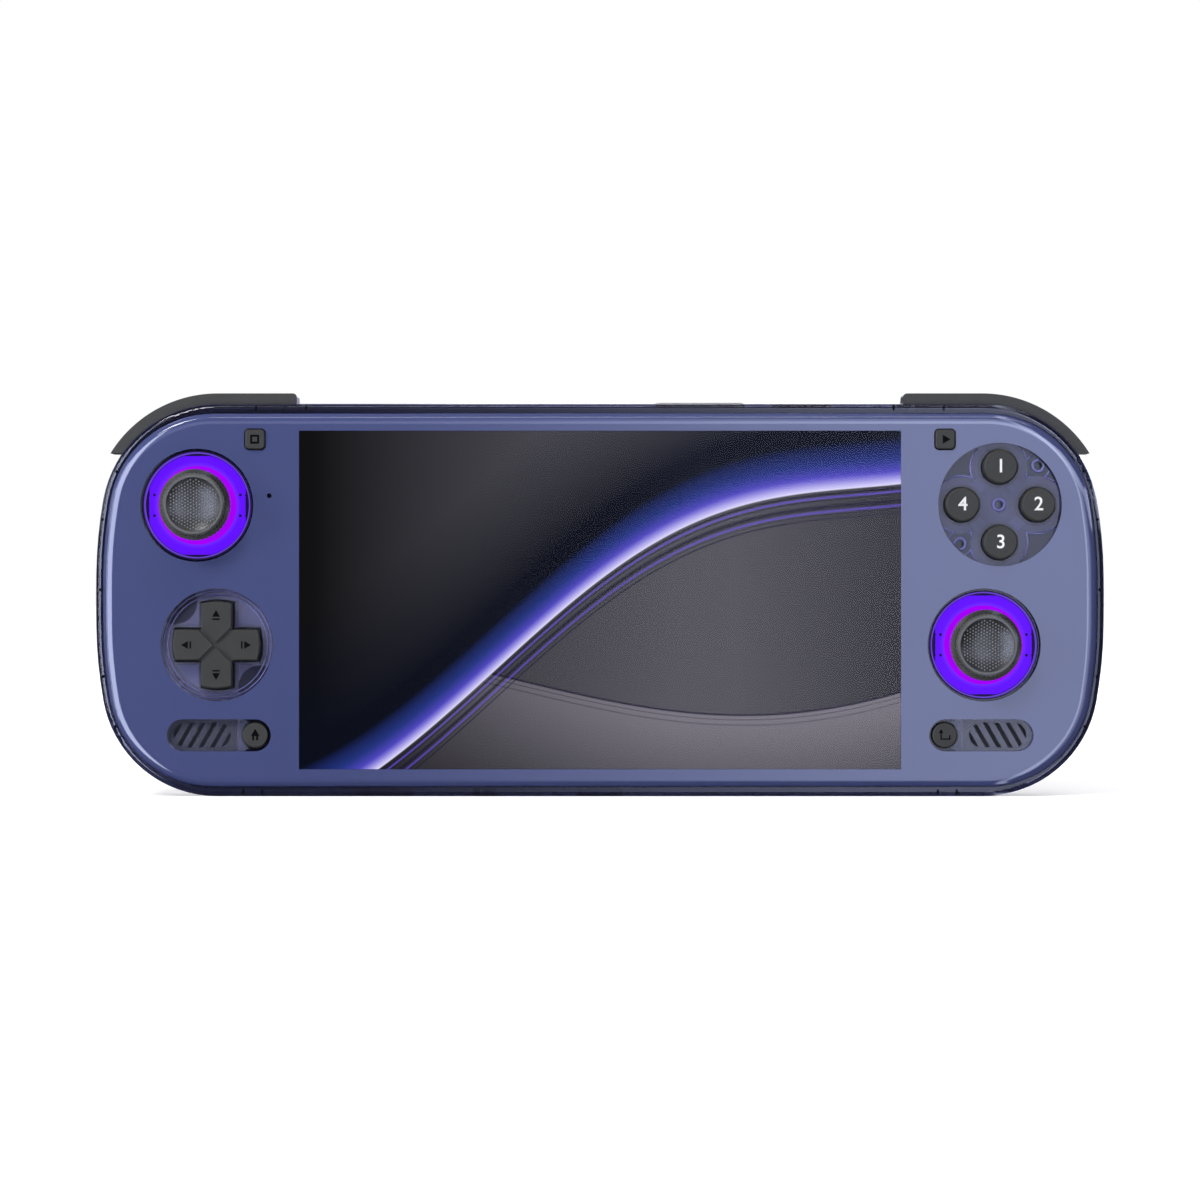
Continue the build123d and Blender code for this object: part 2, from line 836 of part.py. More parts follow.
# The fixed box of a stick, open at the top, with bores for the rocker's axle
def stick_housing(spot):
    front = stick_pivot - housing_above_pivot
    back = stick_pivot + housing_below_pivot
    inner = housing_size - 2 * housing_wall
    box = slab(Rectangle(housing_size, housing_size), front, back)
    box = chamfer(box.edges().filter_by(Axis.Y), housing_corner)
    box -= slab(Rectangle(inner, inner), front - overrun, back - housing_wall)
    reach = housing_size / 2 + overrun
    box -= bar_x(-reach, reach, stick_pivot, 0, axle_radius + running_gap)
    return Pos(spot[0], 0, spot[1]) * box


# The rocker, a small frame that tips up and down on its axle
def stick_rocker(spot):
    front = stick_pivot - yoke_thickness / 2
    back = stick_pivot + yoke_thickness / 2
    frame = Rectangle(rocker_width, rocker_height)
    frame -= Rectangle(rocker_width - 2 * rocker_bar, yoke_height + 4 * running_gap)
    rocker = slab(frame, front, back)
    reach = housing_size / 2 - housing_wall / 2
    axle = bar_x(-reach, reach, stick_pivot, 0, axle_radius)
    gap = rocker_width / 2 - rocker_bar
    axle -= slab(Rectangle(2 * gap, housing_size), front - overrun, back + overrun)
    rocker += axle
    rocker -= bar_z((0, stick_pivot), yoke_pin_radius + running_gap, -housing_size,
                    housing_size)
    return Pos(spot[0], 0, spot[1]) * rocker


# The yoke, a block that swings left and right in the rocker and carries the stick
def stick_yoke(spot):
    front = stick_pivot - yoke_thickness / 2
    back = stick_pivot + yoke_thickness / 2
    block = slab(Rectangle(yoke_width, yoke_height), front, back)
    block += bar_z((0, stick_pivot), yoke_pin_radius, -rocker_height / 2,
                   rocker_height / 2)
    post_front = stick_pivot - dome_radius + dome_wall + stick_click + running_gap * 2
    block += bar_y((0, 0), post_radius, post_front, stick_pivot)
    return Pos(spot[0], 0, spot[1]) * block


# The outline of a knurled cap: small sloped teeth round a circle
def cap_outline():
    points = []
    for tooth in range(cap_teeth):
        step = 360 / cap_teeth
        for radius, turn in ((cap_radius, 0), (cap_radius - cap_tooth_depth, step / 2)):
            angle = radians(tooth * step + turn)
            points.append((radius * cos(angle), radius * sin(angle)))
    return make_face(Polyline(*points, close=True))


# The stick that the thumb moves: knurled cap, neck, dome skirt and stem in one moulding
def stick_cap(spot):
    cap_front = glass_front - cap_proud
    cap_back = cap_front + cap_height
    belt_front = cap_front + cap_height / 3
    belt_back = cap_back - cap_tooth_depth
    valley = cap_radius - cap_tooth_depth
    profile = [
        (0, cap_front + cap_hollow_depth), (cap_hollow_radius, cap_front + cap_hollow_depth / 4),
        (cap_hollow_radius, cap_front), (cap_top_radius, cap_front),
        (valley, belt_front), (valley, belt_back),
        (cap_radius - cap_tooth_depth * 2, cap_back), (0, cap_back),
    ]
    cap = turned(profile, (0, 0)) + slab(cap_outline(), belt_front, belt_back)
    top = stick_pivot - dome_radius
    cap += bar_y((0, 0), neck_radius, cap_back - cap_tooth_depth, top + dome_wall)
    bore = post_radius + running_gap
    cover = radians(dome_cover_angle)
    inner = dome_radius - dome_wall
    half_cover = cover / 2
    outer_end = (dome_radius * sin(cover), stick_pivot - dome_radius * cos(cover))
    outer_mid = (dome_radius * sin(half_cover), stick_pivot - dome_radius * cos(half_cover))
    inner_end = (inner * sin(cover), stick_pivot - inner * cos(cover))
    inner_mid = (inner * sin(half_cover), stick_pivot - inner * cos(half_cover))
    profile = Curve() + [
        Line((0, top), (0, stick_pivot - inner)),
        ThreePointArc((0, stick_pivot - inner), inner_mid, inner_end),
        Line(inner_end, outer_end),
        ThreePointArc(outer_end, outer_mid, (0, top)),
    ]
    cap += turned(None, (0, 0), profile)
    stem_back = stick_pivot - stem_radius + running_gap * 4
    cap += bar_y((0, 0), stem_radius, top + dome_wall / 2, stem_back - stick_click)
    cap -= bar_y((0, 0), bore, top + dome_wall, stick_pivot)
    return Pos(spot[0], 0, spot[1]) * cap


# The board under a stick, reaching out to its three posts
def stick_board(spot, third):
    front = stick_pivot + housing_below_pivot
    wide = Rectangle(2 * stick_board_reach, 2 * stick_post_radius + boss_radius * 2)
    middle = third * (stick_board_reach - stick_board_depth) / 2
    tall = Pos(0, middle) * Rectangle(2 * stick_board_depth,
                                      stick_board_reach + stick_board_depth)
    drawing = wide + tall
    for post in stick_post_spots((0, 0), third):
        drawing -= Pos(*post) * Circle(board_screw_radius + screw_play)
    board = slab(drawing, front, front + stick_board_thickness)
    return Pos(spot[0], 0, spot[1]) * board


# The direction pad cross, with a crossed groove on its face and a socket for the ball
def pad_key():
    front = glass_front - pad_proud
    flange_front = plate_back + pad_flange_gap
    flange_back = flange_front + pad_flange
    ball = glass_front + pad_ball_depth
    key = slab(pad_cross(0), front, flange_front)
    key = fillet(edges_at_depth(key, front), small_edge)
    for turn in (45, -45):
        groove = Rot(0, 0, turn) * Rectangle(pad_arm * sqrt(2) + 2 * pad_groove_width,
                                             pad_groove_width)
        key -= slab(groove, front - overrun, front + pad_groove)
    key += slab(pad_cross(pad_flange_margin), flange_front, flange_back)
    key += bar_y((0, 0), pad_hub_radius, flange_back, ball - small_edge)
    key -= Pos(0, ball, 0) * Sphere(pad_ball_radius + running_gap)
    return Pos(pad_place[0], 0, pad_place[1]) * key


# The ball that the direction pad rocks on
def pad_ball():
    ball = glass_front + pad_ball_depth
    return Pos(pad_place[0], ball, pad_place[1]) * Sphere(pad_ball_radius)


# A rubber mat with a soft dome under each button
def rubber_mat(drawing, dome_spots, dome_front):
    mat = slab(drawing, mat_front, mat_front + mat_thickness)
    for spot in dome_spots:
        plane = Plane(origin=(spot[0], mat_front, spot[1]), x_dir=(1, 0, 0),
                      z_dir=(0, -1, 0))
        rise = mat_front - dome_front
        base = plane * Circle(mat_dome_base)
        crown = plane.offset(rise) * Circle(mat_dome_top)
        mat += loft(Sketch() + [base, crown])
    return mat


pad_flange_back = plate_back + pad_flange_gap + pad_flange
face_stem_back = control_board_front - face_travel - small_gap


def pad_mat():
    x, z = pad_place
    spots = [(x, z + pad_dome_distance), (x + pad_dome_distance, z),
             (x, z - pad_dome_distance), (x - pad_dome_distance, z)]
    drawing = Pos(x, z) * Circle(pad_dome_distance + mat_dome_base + mat_margin)
    drawing -= Pos(x, z) * Circle(pad_hub_radius + small_edge)
    return rubber_mat(drawing, spots, pad_flange_back)


def face_mat():
    drawing = Sketch()
    for spot in face_spots():
        drawing += Pos(*spot) * Circle(mat_dome_base + mat_margin)
    arm = 2 * face_distance
    band = mat_dome_base
    ring = Rot(0, 0, 45) * (Rectangle(arm / sqrt(2) + band, arm / sqrt(2) + band)
                            - Rectangle(arm / sqrt(2) - band, arm / sqrt(2) - band))
    drawing += Pos(*face_place) * ring
    for spot in face_boss_spots():
        drawing -= Pos(*spot) * Circle(boss_radius + small_gap)
    return rubber_mat(drawing, face_spots(), face_stem_back)


# One round face button with its retaining flange
def face_button(spot):
    front = glass_front - face_proud
    cap = bar_y(spot, face_radius, front, plate_back)
    cap = fillet(edges_at_depth(cap, front), face_edge)
    cap += bar_y(spot, face_flange_radius, plate_back, plate_back + face_flange)
    cap += bar_y(spot, face_stem_radius, plate_back, face_stem_back)
    return cap


switch_top = control_board_front - switch_body - switch_dome
small_stem_back = switch_top - small_travel - running_gap


# A small front button: cap, flange behind the plate, and stem above its switch
def small_button(spot, drawing, flange_drawing, proud):
    front = glass_front - proud
    cap = slab(Pos(*spot) * drawing, front, plate_back)
    cap = fillet(edges_at_depth(cap, front), small_edge)
    cap += slab(Pos(*spot) * flange_drawing, plate_back, plate_back + small_flange)
    cap += bar_y(spot, small_stem_radius, plate_back, small_stem_back)
    return cap


def square_key(spot):
    size = square_button + 2 * small_flange_margin
    return small_button(spot, RectangleRounded(square_button, square_button, square_corner),
                        RectangleRounded(size, size, square_corner), square_proud)


def round_key(spot):
    return small_button(spot, Circle(round_button_radius),
                        Circle(round_button_radius + small_flange_margin), round_proud)


# One push switch facing a direction, with its base on z = 0 of its own plane
def push_switch(plane):
    base = extrude(plane * Rectangle(switch_base, switch_base), amount=switch_body)
    dome = extrude(plane.offset(switch_body) * Circle(switch_dome_radius),
                   amount=switch_dome)
    return base + dome


# All the push switches, which are alike
def push_switches():
    switches = []
    for spot in (select_place, start_place, home_place, back_button_place):
        switches.append(push_switch(Plane(origin=(spot[0], control_board_front, spot[1]),
                                          x_dir=(1, 0, 0), z_dir=(0, -1, 0))))
    for x in (volume_from_middle - volume_stem_distance,
              volume_from_middle + volume_stem_distance, power_from_middle):
        switches.append(push_switch(Plane(origin=(x, 0, key_board_top))))
    return switches


# The board of one control cluster, cut round its stick
def control_board(side):
    inner = frame_half_width + board_above_wall
    reach = window(-half_width, -inner, -half_height, half_height)
    if side > 0:
        reach = mirror(reach, Plane.YZ)
    drawing = outline(control_board_inset) & reach
    name, spot, third = stick_sites[0] if side < 0 else stick_sites[1]
    drawing -= Pos(*spot) * Circle(dome_radius + ring_relief)
    for post in stick_post_spots(spot, third):
        drawing -= Pos(*post) * Circle(stick_post_radius + small_gap)
    bosses = pad_boss_spots if side < 0 else face_boss_spots()
    for post in bosses:
        drawing -= Pos(*post) * Circle(board_screw_radius + screw_play)
    for post in case_screw_spots:
        drawing -= Pos(*post) * Circle(case_boss_radius + small_gap)
    if side < 0:
        drawing -= Pos(*pad_place) * Circle(pad_ball_seat)
    return slab(drawing, control_board_front, control_board_back)


ball_drop = control_board_front - glass_front - pad_ball_depth
pad_ball_seat = sqrt(pad_ball_radius ** 2 - ball_drop ** 2) + running_gap


# Small screws that hold the boards
def board_screws():
    screws = []

    def screw(spot, seat):
        head = bar_y(spot, board_screw_head_radius, seat, seat + board_screw_head)
        shank = bar_y(spot, board_screw_radius - screw_play, seat - board_screw_reach
                      - board_thickness + small_gap, seat)
        screws.append(head + shank)

    for spot in board_screw_spots:
        screw(spot, board_back)
    for spot in pad_boss_spots + face_boss_spots():
        screw(spot, control_board_back)
    for name, centre, third in stick_sites:
        for spot in stick_post_spots(centre, third):
            screw(spot, stick_pivot + housing_below_pivot + stick_board_thickness)
    return screws


# A speaker box and the woven mesh between it and the slots
def speaker(side):
    x, z = place(pill_share, side)
    x += side * grille_from_pill_middle
    box = slab(Pos(x, z) * Rectangle(speaker_width, speaker_height),
               plate_back + mesh_thickness, plate_back + mesh_thickness + speaker_depth)
    return fillet(box.edges().filter_by(Axis.Y), wall / 2)


def speaker_mesh(side):
    x, z = place(pill_share, side)
    x += side * grille_from_pill_middle
    return slab(Pos(x, z) * Rectangle(speaker_width, speaker_height), plate_back,
                plate_back + mesh_thickness)


# The volume rocker: a long key on a ridge, with a stem over each switch
def volume_key():
    inside = half_height - wall
    flange_top = inside - key_gap * 2
    cap = layer(Pos(volume_from_middle, 0) * SlotOverall(volume_length, key_depth),
                flange_top - key_flange, half_height + volume_proud)
    cap = fillet(edges_at_height(cap, half_height + volume_proud), small_edge)
    cap += layer(Pos(volume_from_middle, 0)
                 * Rectangle(volume_length + 2 * key_flange_margin,
                             key_depth + 2 * key_flange_margin),
                 flange_top - key_flange, flange_top)
    stem_low = key_board_top + switch_body + switch_dome + key_gap * 2
    for side in (-1, 1):
        cap += bar_z((volume_from_middle + side * volume_stem_distance, 0), key_stem_radius,
                     stem_low, flange_top)
    ridge = bar_z((volume_from_middle, 0), key_stem_radius, key_board_top + running_gap,
                  flange_top)
    return cap + ridge


def power_key():
    inside = half_height - wall
    cap = layer(Pos(power_from_middle, 0) * SlotOverall(power_length, key_depth),
                inside - key_flange, half_height + power_proud)
    cap = fillet(edges_at_height(cap, half_height + power_proud), small_edge / 2)
    cap += layer(Pos(power_from_middle, 0)
                 * Rectangle(power_length + 2 * key_flange_margin,
                             key_depth + 2 * key_flange_margin), inside - key_flange, inside)
    stem_low = key_board_top + switch_body + switch_dome + power_travel + running_gap
    return cap + bar_z((power_from_middle, 0), key_stem_radius, stem_low, inside)


# The small board under the top keys
def key_board():
    front = frame_back + small_gap
    drawing = window(key_board_left, key_board_right, front, front + key_board_depth)
    return layer(drawing, key_tab_top, key_board_top)


# A shoulder button: a curved bar along the corner, hinged at its inner end
def bumper(side):
    band = (shoulder_zone & outline(-bumper_thickness)) - outline(bumper_inside)
    bar = slab(band, bumper_front, bumper_back)
    ends = bar.edges().filter_by(Axis.Y).sort_by(Axis.Z)
    bar = fillet([ends[0], ends[-1]], bumper_edge)
    lug = window(lug_place[0] - bumper_lug_radius, -bumper_inner_end,
                 lug_place[1], half_height)
    lug += Pos(*lug_place) * Circle(bumper_lug_radius)
    bar += slab(lug, bumper_front, bumper_back)
    bar -= bar_y(lug_place, pin_radius + running_gap, bumper_front - overrun,
                 bumper_back + overrun)
    return to_side(bar, side)


def bumper_pin(side):
    pin = bar_y(lug_place, pin_radius, bumper_front - divider_gap - pin_seat, divider_back)
    return to_side(pin, side)


# A trigger: a crown along the corner, a paddle behind the back, and a hinge hub
def trigger(side):
    inner_end = -bumper_inner_end - bumper_end_gap
    crown = outline(-trigger_thickness) & window(-half_width - overrun, inner_end,
                                                 bumper_outer_rise, half_height + overrun)
    paddle_end = crown.bounding_box().min.X + trigger_paddle_step
    paddle = window(paddle_end, inner_end, trigger_lip_rise,
                    bumper_outer_rise + trigger_corner)
    face = crown + paddle
    tangent = half_height
    corners = [v for v in face.vertices() if v.Y < tangent or v.X > inner_end - touch]
    body = slab(fillet(corners, trigger_corner), trigger_front, trigger_back)
    body = fillet(edges_at_depth(body, trigger_back), trigger_edge)
    body -= slab(outline(trigger_inside), trigger_front - overrun, trigger_inner_back)
    groove_y = trigger_back + trigger_groove_radius - trigger_groove_depth
    groove_z = (trigger_lip_rise + half_height) / 2
    body -= bar_x(-half_width - overrun, 0, groove_y, groove_z, trigger_groove_radius)
    hub = bar_x(hub_left, hub_right, trigger_pivot_y, trigger_pivot_z, trigger_hub_radius)
    web = layer(Pos((hub_left + hub_right) / 2, trigger_pivot_y)
                * Rectangle(trigger_hub_length, trigger_hub_radius * 2), trigger_pivot_z,
                half_height + trigger_thickness / 2)
    web &= slab(outline(-trigger_thickness / 2), trigger_front, trigger_back)
    body += hub + web
    body -= bar_x(hub_left - overrun, hub_right + overrun, trigger_pivot_y,
                  trigger_pivot_z, pin_radius + running_gap)
    return to_side(body, side)


def trigger_pin(side):
    pin = bar_x(hub_left - trigger_hub_gap - pocket_skin,
                hub_right + trigger_hub_gap + pocket_skin, trigger_pivot_y,
                trigger_pivot_z, pin_radius)
    return to_side(pin, side)


# Every piece by its name
pieces = {
    "front_glass": front_glass(),
    "front_shell": front_shell(),
    "back_shell": back_shell(),
    "case_screws": case_screws(),
    "display_panel": display_panel(),
    "mid_frame": mid_frame(),
    "battery_pack": battery_pack(),
    "main_board": main_board(),
    "processor_shield": processor_shield(),
    "heat_spreader": heat_spreader(),
    "headphone_socket": headphone_socket(),
    "charging_socket": charging_socket(),
    "card_holder": card_holder(),
    "push_switches": push_switches(),
    "board_screws": board_screws(),
    "pad_key": pad_key(),
    "pad_ball": pad_ball(),
    "pad_mat": pad_mat(),
    "face_mat": face_mat(),
    "select_button": square_key(select_place),
    "start_button": square_key(start_place),
    "home_button": round_key(home_place),
    "back_button": round_key(back_button_place),
    "volume_key": volume_key(),
    "power_key": power_key(),
    "key_board": key_board(),
}
for number, spot in enumerate(face_spots(), start=1):
    pieces[f"face_button_{number}"] = face_button(spot)
for name, spot, third in stick_sites:
    pieces[f"{name}_ring_light"] = ring_light(spot)
    pieces[f"{name}_stick_housing"] = stick_housing(spot)
    pieces[f"{name}_stick_rocker"] = stick_rocker(spot)
    pieces[f"{name}_stick_yoke"] = stick_yoke(spot)
    pieces[f"{name}_stick"] = stick_cap(spot)
    pieces[f"{name}_stick_board"] = stick_board(spot, third)
for name, side in (("left", -1), ("right", 1)):
    pieces[f"{name}_control_board"] = control_board(side)
    pieces[f"{name}_speaker"] = speaker(side)
    pieces[f"{name}_speaker_mesh"] = speaker_mesh(side)
    pieces[f"{name}_bumper"] = bumper(side)
    pieces[f"{name}_bumper_pin"] = bumper_pin(side)
    pieces[f"{name}_trigger"] = trigger(side)
    pieces[f"{name}_trigger_pin"] = trigger_pin(side)

os.makedirs("parts", exist_ok=True)
for name, piece in pieces.items():
    solids = piece if isinstance(piece, list) else piece.solids()
    lifted = [Pos(0, 0, half_height) * solid for solid in solids]
    export_step(Compound(children=lifted), f"parts/{name}.step")
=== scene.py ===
import bpy
from math import atan2, cos, hypot, pi, radians, sin, sqrt
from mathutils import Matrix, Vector


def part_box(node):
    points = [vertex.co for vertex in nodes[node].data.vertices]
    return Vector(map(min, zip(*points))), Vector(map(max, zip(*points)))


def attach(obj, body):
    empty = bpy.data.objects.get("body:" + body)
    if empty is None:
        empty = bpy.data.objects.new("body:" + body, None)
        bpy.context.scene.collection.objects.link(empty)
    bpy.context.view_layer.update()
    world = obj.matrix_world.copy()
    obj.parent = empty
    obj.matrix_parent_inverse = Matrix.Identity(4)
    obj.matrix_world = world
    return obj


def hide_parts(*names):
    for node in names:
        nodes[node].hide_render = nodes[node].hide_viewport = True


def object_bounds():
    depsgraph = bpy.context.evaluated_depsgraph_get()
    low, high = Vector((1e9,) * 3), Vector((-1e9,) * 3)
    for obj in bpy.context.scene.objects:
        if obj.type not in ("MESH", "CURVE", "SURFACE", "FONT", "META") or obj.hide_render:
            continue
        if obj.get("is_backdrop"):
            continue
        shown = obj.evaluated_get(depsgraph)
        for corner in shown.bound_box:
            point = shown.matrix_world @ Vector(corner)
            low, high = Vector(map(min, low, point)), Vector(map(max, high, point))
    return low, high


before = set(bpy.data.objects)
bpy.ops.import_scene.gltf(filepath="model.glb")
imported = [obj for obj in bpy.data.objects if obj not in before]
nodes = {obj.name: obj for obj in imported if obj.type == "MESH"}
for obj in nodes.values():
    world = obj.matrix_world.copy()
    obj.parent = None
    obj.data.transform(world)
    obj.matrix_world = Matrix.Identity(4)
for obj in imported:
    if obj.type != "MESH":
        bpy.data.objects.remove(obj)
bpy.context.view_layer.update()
print("frame loaded:", len(nodes), "nodes")

mm = 0.001
frontFacing = (radians(90), 0, 0)   # turns a flat primitive so that it faces the player


# Colours are written as they look on screen, 0 to 255, and turned into linear light
def tint(red, green, blue):
    linear = []
    for value in (red, green, blue):
        share = value / 255
        linear.append(share / 12.92 if share <= 0.04045 else ((share + 0.055) / 1.055) ** 2.4)
    return (*linear, 1)


# The middle of a node's box
def middleOf(node):
    low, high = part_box(node)
    return (low + high) / 2


# Where the player's side of a node is
def frontOf(node):
    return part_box(node)[0].y


# Node helpers, which work on the tree in hand
def addNode(tree, kind, settings=None, inputs=None):
    node = tree.nodes.new(kind)
    for key, value in (settings or {}).items():
        setattr(node, key, value)
    for key, value in (inputs or {}).items():
        if hasattr(value, "links"):
            tree.links.new(value, node.inputs[key])
        else:
            node.inputs[key].default_value = value
    return node


def maths(operation, first, second=0.0, third=0.0):
    return addNode(tree, "ShaderNodeMath", {"operation": operation},
                   {0: first, 1: second, 2: third}).outputs[0]


def objectPlace():
    return addNode(tree, "ShaderNodeTexCoord").outputs["Object"]


def blendColour(factor, low, high):
    return addNode(tree, "ShaderNodeMix", {"data_type": "RGBA"}, {0: factor, 6: low, 7: high}).outputs[2]


# The distance that two steps at a right angle make
def flatReach(offX, offZ):
    return maths("SQRT", maths("ADD", maths("MULTIPLY", offX, offX), maths("MULTIPLY", offZ, offZ)))


# Camera and stage
camera = {"distance": 650 * mm, "lens": 96.4, "sensor": 36}
glassFront = frontOf("front_glass")
bodyMiddle = middleOf("front_shell")
bpy.ops.object.camera_add(location=(0, glassFront - camera["distance"], bodyMiddle.z), rotation=frontFacing)
viewCamera = bpy.context.object
viewCamera.data.lens = camera["lens"]
viewCamera.data.sensor_width = camera["sensor"]
bpy.context.scene.camera = viewCamera
bpy.context.scene.view_settings.view_transform = "Standard"

stage = {"floorSize": 40, "floorColour": (238, 238, 240), "floorRoughness": 0.9, "nearLift": 0.50,
         "farLift": 1.0, "farFrom": 0.9, "ambient": 0.17}

bpy.ops.mesh.primitive_plane_add(size=stage["floorSize"], location=(0, 0, 0))
floor = bpy.context.object
floor.name = "floor"
floorMaterial = bpy.data.materials.new("paleFloor")
floorMaterial.use_nodes = True
tree = floorMaterial.node_tree
floorShader = tree.nodes["Principled BSDF"]
floorShader.inputs["Base Color"].default_value = tint(*stage["floorColour"])
floorShader.inputs["Roughness"].default_value = stage["floorRoughness"]
floorShader.inputs["Specular IOR Level"].default_value = 0.0
floorShader.inputs["Emission Color"].default_value = (1, 1, 1, 1)
floorPath = addNode(tree, "ShaderNodeLightPath")
floorAway = addNode(tree, "ShaderNodeVectorMath", {"operation": "LENGTH"}, {0: objectPlace()})
floorRange = addNode(tree, "ShaderNodeMapRange", None,
                     {"Value": floorAway.outputs["Value"], "From Max": stage["farFrom"],
                      "To Min": stage["nearLift"], "To Max": stage["farLift"]})
floorLift = maths("MULTIPLY", floorPath.outputs["Is Camera Ray"], floorRange.outputs[0])
tree.links.new(floorLift, floorShader.inputs["Emission Strength"])
floor.data.materials.append(floorMaterial)
floor.visible_glossy = False
floor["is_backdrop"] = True

# White to the eye and soft grey as light. In mirrors it is a dark studio with soft boxes: each
# box has a level, and edges that give an axis, where the box starts and where it is full
world = bpy.data.worlds.new("studio")
bpy.context.scene.world = world
world.use_nodes = True
tree = world.node_tree
background = tree.nodes["Background"]
mirror = {"dark": 0.06, "tint": (216, 224, 255)}
mirrorBoxes = {
    "behindRight": {"level": 4.3, "edges": (("X", -0.10, 0.12), ("Y", -0.86, -0.94))},
    "left": {"level": 13.0, "edges": (("X", -0.26, -0.30), ("X", -0.74, -0.70), ("Y", -0.62, -0.68),
                                      ("Z", 0.44, 0.36), ("Z", -0.44, -0.36))},
    "rightStrip": {"level": 5.0, "edges": (("X", 0.19, 0.22), ("X", 0.32, 0.28))},
    "top": {"level": 1.5, "edges": (("Z", 0.10, 0.13), ("Z", 0.30, 0.26))},
    "topRight": {"level": 4.0, "edges": (("Z", 0.10, 0.13), ("Z", 0.30, 0.26), ("X", -0.1, 0.2))},
    "rear": {"level": 1.1, "edges": (("Y", 0.15, 0.5), ("Z", 0.0, 0.5))},
}
worldPath = addNode(tree, "ShaderNodeLightPath")
worldPlace = addNode(tree, "ShaderNodeTexCoord")
worldSplit = addNode(tree, "ShaderNodeSeparateXYZ", None, {0: worldPlace.outputs["Generated"]})
mirrorGlow = mirror["dark"]
for box in mirrorBoxes.values():
    boxGlow = box["level"]
    for axis, start, full in box["edges"]:
        step = addNode(tree, "ShaderNodeMapRange", {"interpolation_type": "SMOOTHSTEP"},
                       {"Value": worldSplit.outputs[axis], "From Min": start, "From Max": full})
        boxGlow = maths("MULTIPLY", boxGlow, step.outputs[0])
    mirrorGlow = maths("ADD", mirrorGlow, boxGlow)
onGlossy = worldPath.outputs["Is Glossy Ray"]
cameraWhite = addNode(tree, "ShaderNodeMix", None,
                      {0: worldPath.outputs["Is Camera Ray"], 2: stage["ambient"], 3: 1.0})
mirrorMix = addNode(tree, "ShaderNodeMix", None, {0: onGlossy, 2: cameraWhite.outputs[0], 3: mirrorGlow})
tree.links.new(mirrorMix.outputs[0], background.inputs["Strength"])
tree.links.new(blendColour(onGlossy, (1, 1, 1, 1), tint(*mirror["tint"])), background.inputs["Color"])

# Lamps: a soft key from the upper left, two strips and a fill from behind
lamps = {
    "key": {"place": (-0.45, -0.60, 0.75), "size": (0.25, 0.25), "power": 5.2},
    "leftStrip": {"place": (-0.75, -0.35, 0.10), "size": (0.10, 0.7), "power": 2.6},
    "topStrip": {"place": (0.15, -0.30, 0.80), "size": (0.8, 0.10), "power": 2.2},
    "backFill": {"place": (0.2, 0.9, 0.5), "size": (0.6, 0.6), "power": 4.0},
}
lampTarget = Vector((0, 0, bodyMiddle.z))
for lampName, lamp in lamps.items():
    bpy.ops.object.light_add(type="AREA", location=lamp["place"])
    light = bpy.context.object
    light.name = lampName
    light.data.shape = "RECTANGLE"
    light.data.size, light.data.size_y = lamp["size"]
    light.data.energy = lamp["power"]
    light.rotation_euler = (lampTarget - light.location).to_track_quat("-Z", "Y").to_euler()

print("stage and lamps set")


# Materials: each starts from a shader with its constants, and many then get their own grain
def startMaterial(name, colour, roughness, settings=None):
    material = bpy.data.materials.new(name)
    material.use_nodes = True
    shader = material.node_tree.nodes["Principled BSDF"]
    shader.inputs["Base Color"].default_value = tint(*colour)
    shader.inputs["Roughness"].default_value = roughness
    for socket, value in (settings or {}).items():
        shader.inputs[socket].default_value = value
    return material, material.node_tree, shader


# From 0 to 1 while a distance grows to a width
def side(distance, width):
    share = maths("DIVIDE", distance, width)
    return maths("MINIMUM", maths("MAXIMUM", share, 0.0), 1.0)


# How far a place on the front lies from a spot
def spotReach(spot):
    offX = maths("SUBTRACT", split.outputs["X"], spot.x)
    offZ = maths("SUBTRACT", split.outputs["Z"], spot.z)
    return flatReach(offX, offZ)


def within(spot, radius):
    return maths("LESS_THAN", spotReach(spot), radius)


# Fine grain as bump, and a slight drift of the base colour between two tones
def addGrain(tree, shader, scale, strength, colours, depth=0.02 * mm):
    place = objectPlace()
    fine = addNode(tree, "ShaderNodeTexNoise", None,
                   {"Vector": place, "Scale": scale, "Detail": 3.0, "Roughness": 0.6})
    bump = addNode(tree, "ShaderNodeBump", None,
                   {"Strength": strength, "Distance": depth, "Height": fine.outputs["Fac"]})
    tree.links.new(bump.outputs[0], shader.inputs["Normal"])
    broad = addNode(tree, "ShaderNodeTexNoise", None, {"Vector": place, "Scale": scale / 12})
    drift = addNode(tree, "ShaderNodeMix", {"data_type": "RGBA"},
                    {0: broad.outputs["Fac"], 6: tint(*colours[0]), 7: tint(*colours[1])})
    tree.links.new(drift.outputs[2], shader.inputs["Base Color"])


def paint(material, *names):
    for name in names:
        slots = nodes[name].data.materials
        slots.clear()
        slots.append(material)


# Cover glass: indigo print under gloss, clear over the screen
glassPaint = {"colour": (73, 82, 131), "warm": (78, 85, 130), "displayMargin": 0.9 * mm,
              "roughness": 0.42, "coatDrop": 0.9}
coverGlass, tree, shader = startMaterial(
    "printedGlass", glassPaint["colour"], glassPaint["roughness"],
    {"IOR": 1.1, "Coat Weight": 1.0, "Coat Roughness": 0.0, "Coat IOR": 1.5,
     "Specular IOR Level": 0.05})
place = objectPlace()
split = addNode(tree, "ShaderNodeSeparateXYZ", None, {0: place})
screenLow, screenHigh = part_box("display_panel")
screenMiddle = (screenLow + screenHigh) / 2
halfWide = (screenHigh.x - screenLow.x) / 2 - glassPaint["displayMargin"]
halfTall = (screenHigh.z - screenLow.z) / 2 - glassPaint["displayMargin"]
insideX = maths("LESS_THAN", maths("ABSOLUTE", split.outputs["X"]), halfWide)
offMiddle = maths("SUBTRACT", split.outputs["Z"], screenMiddle.z)
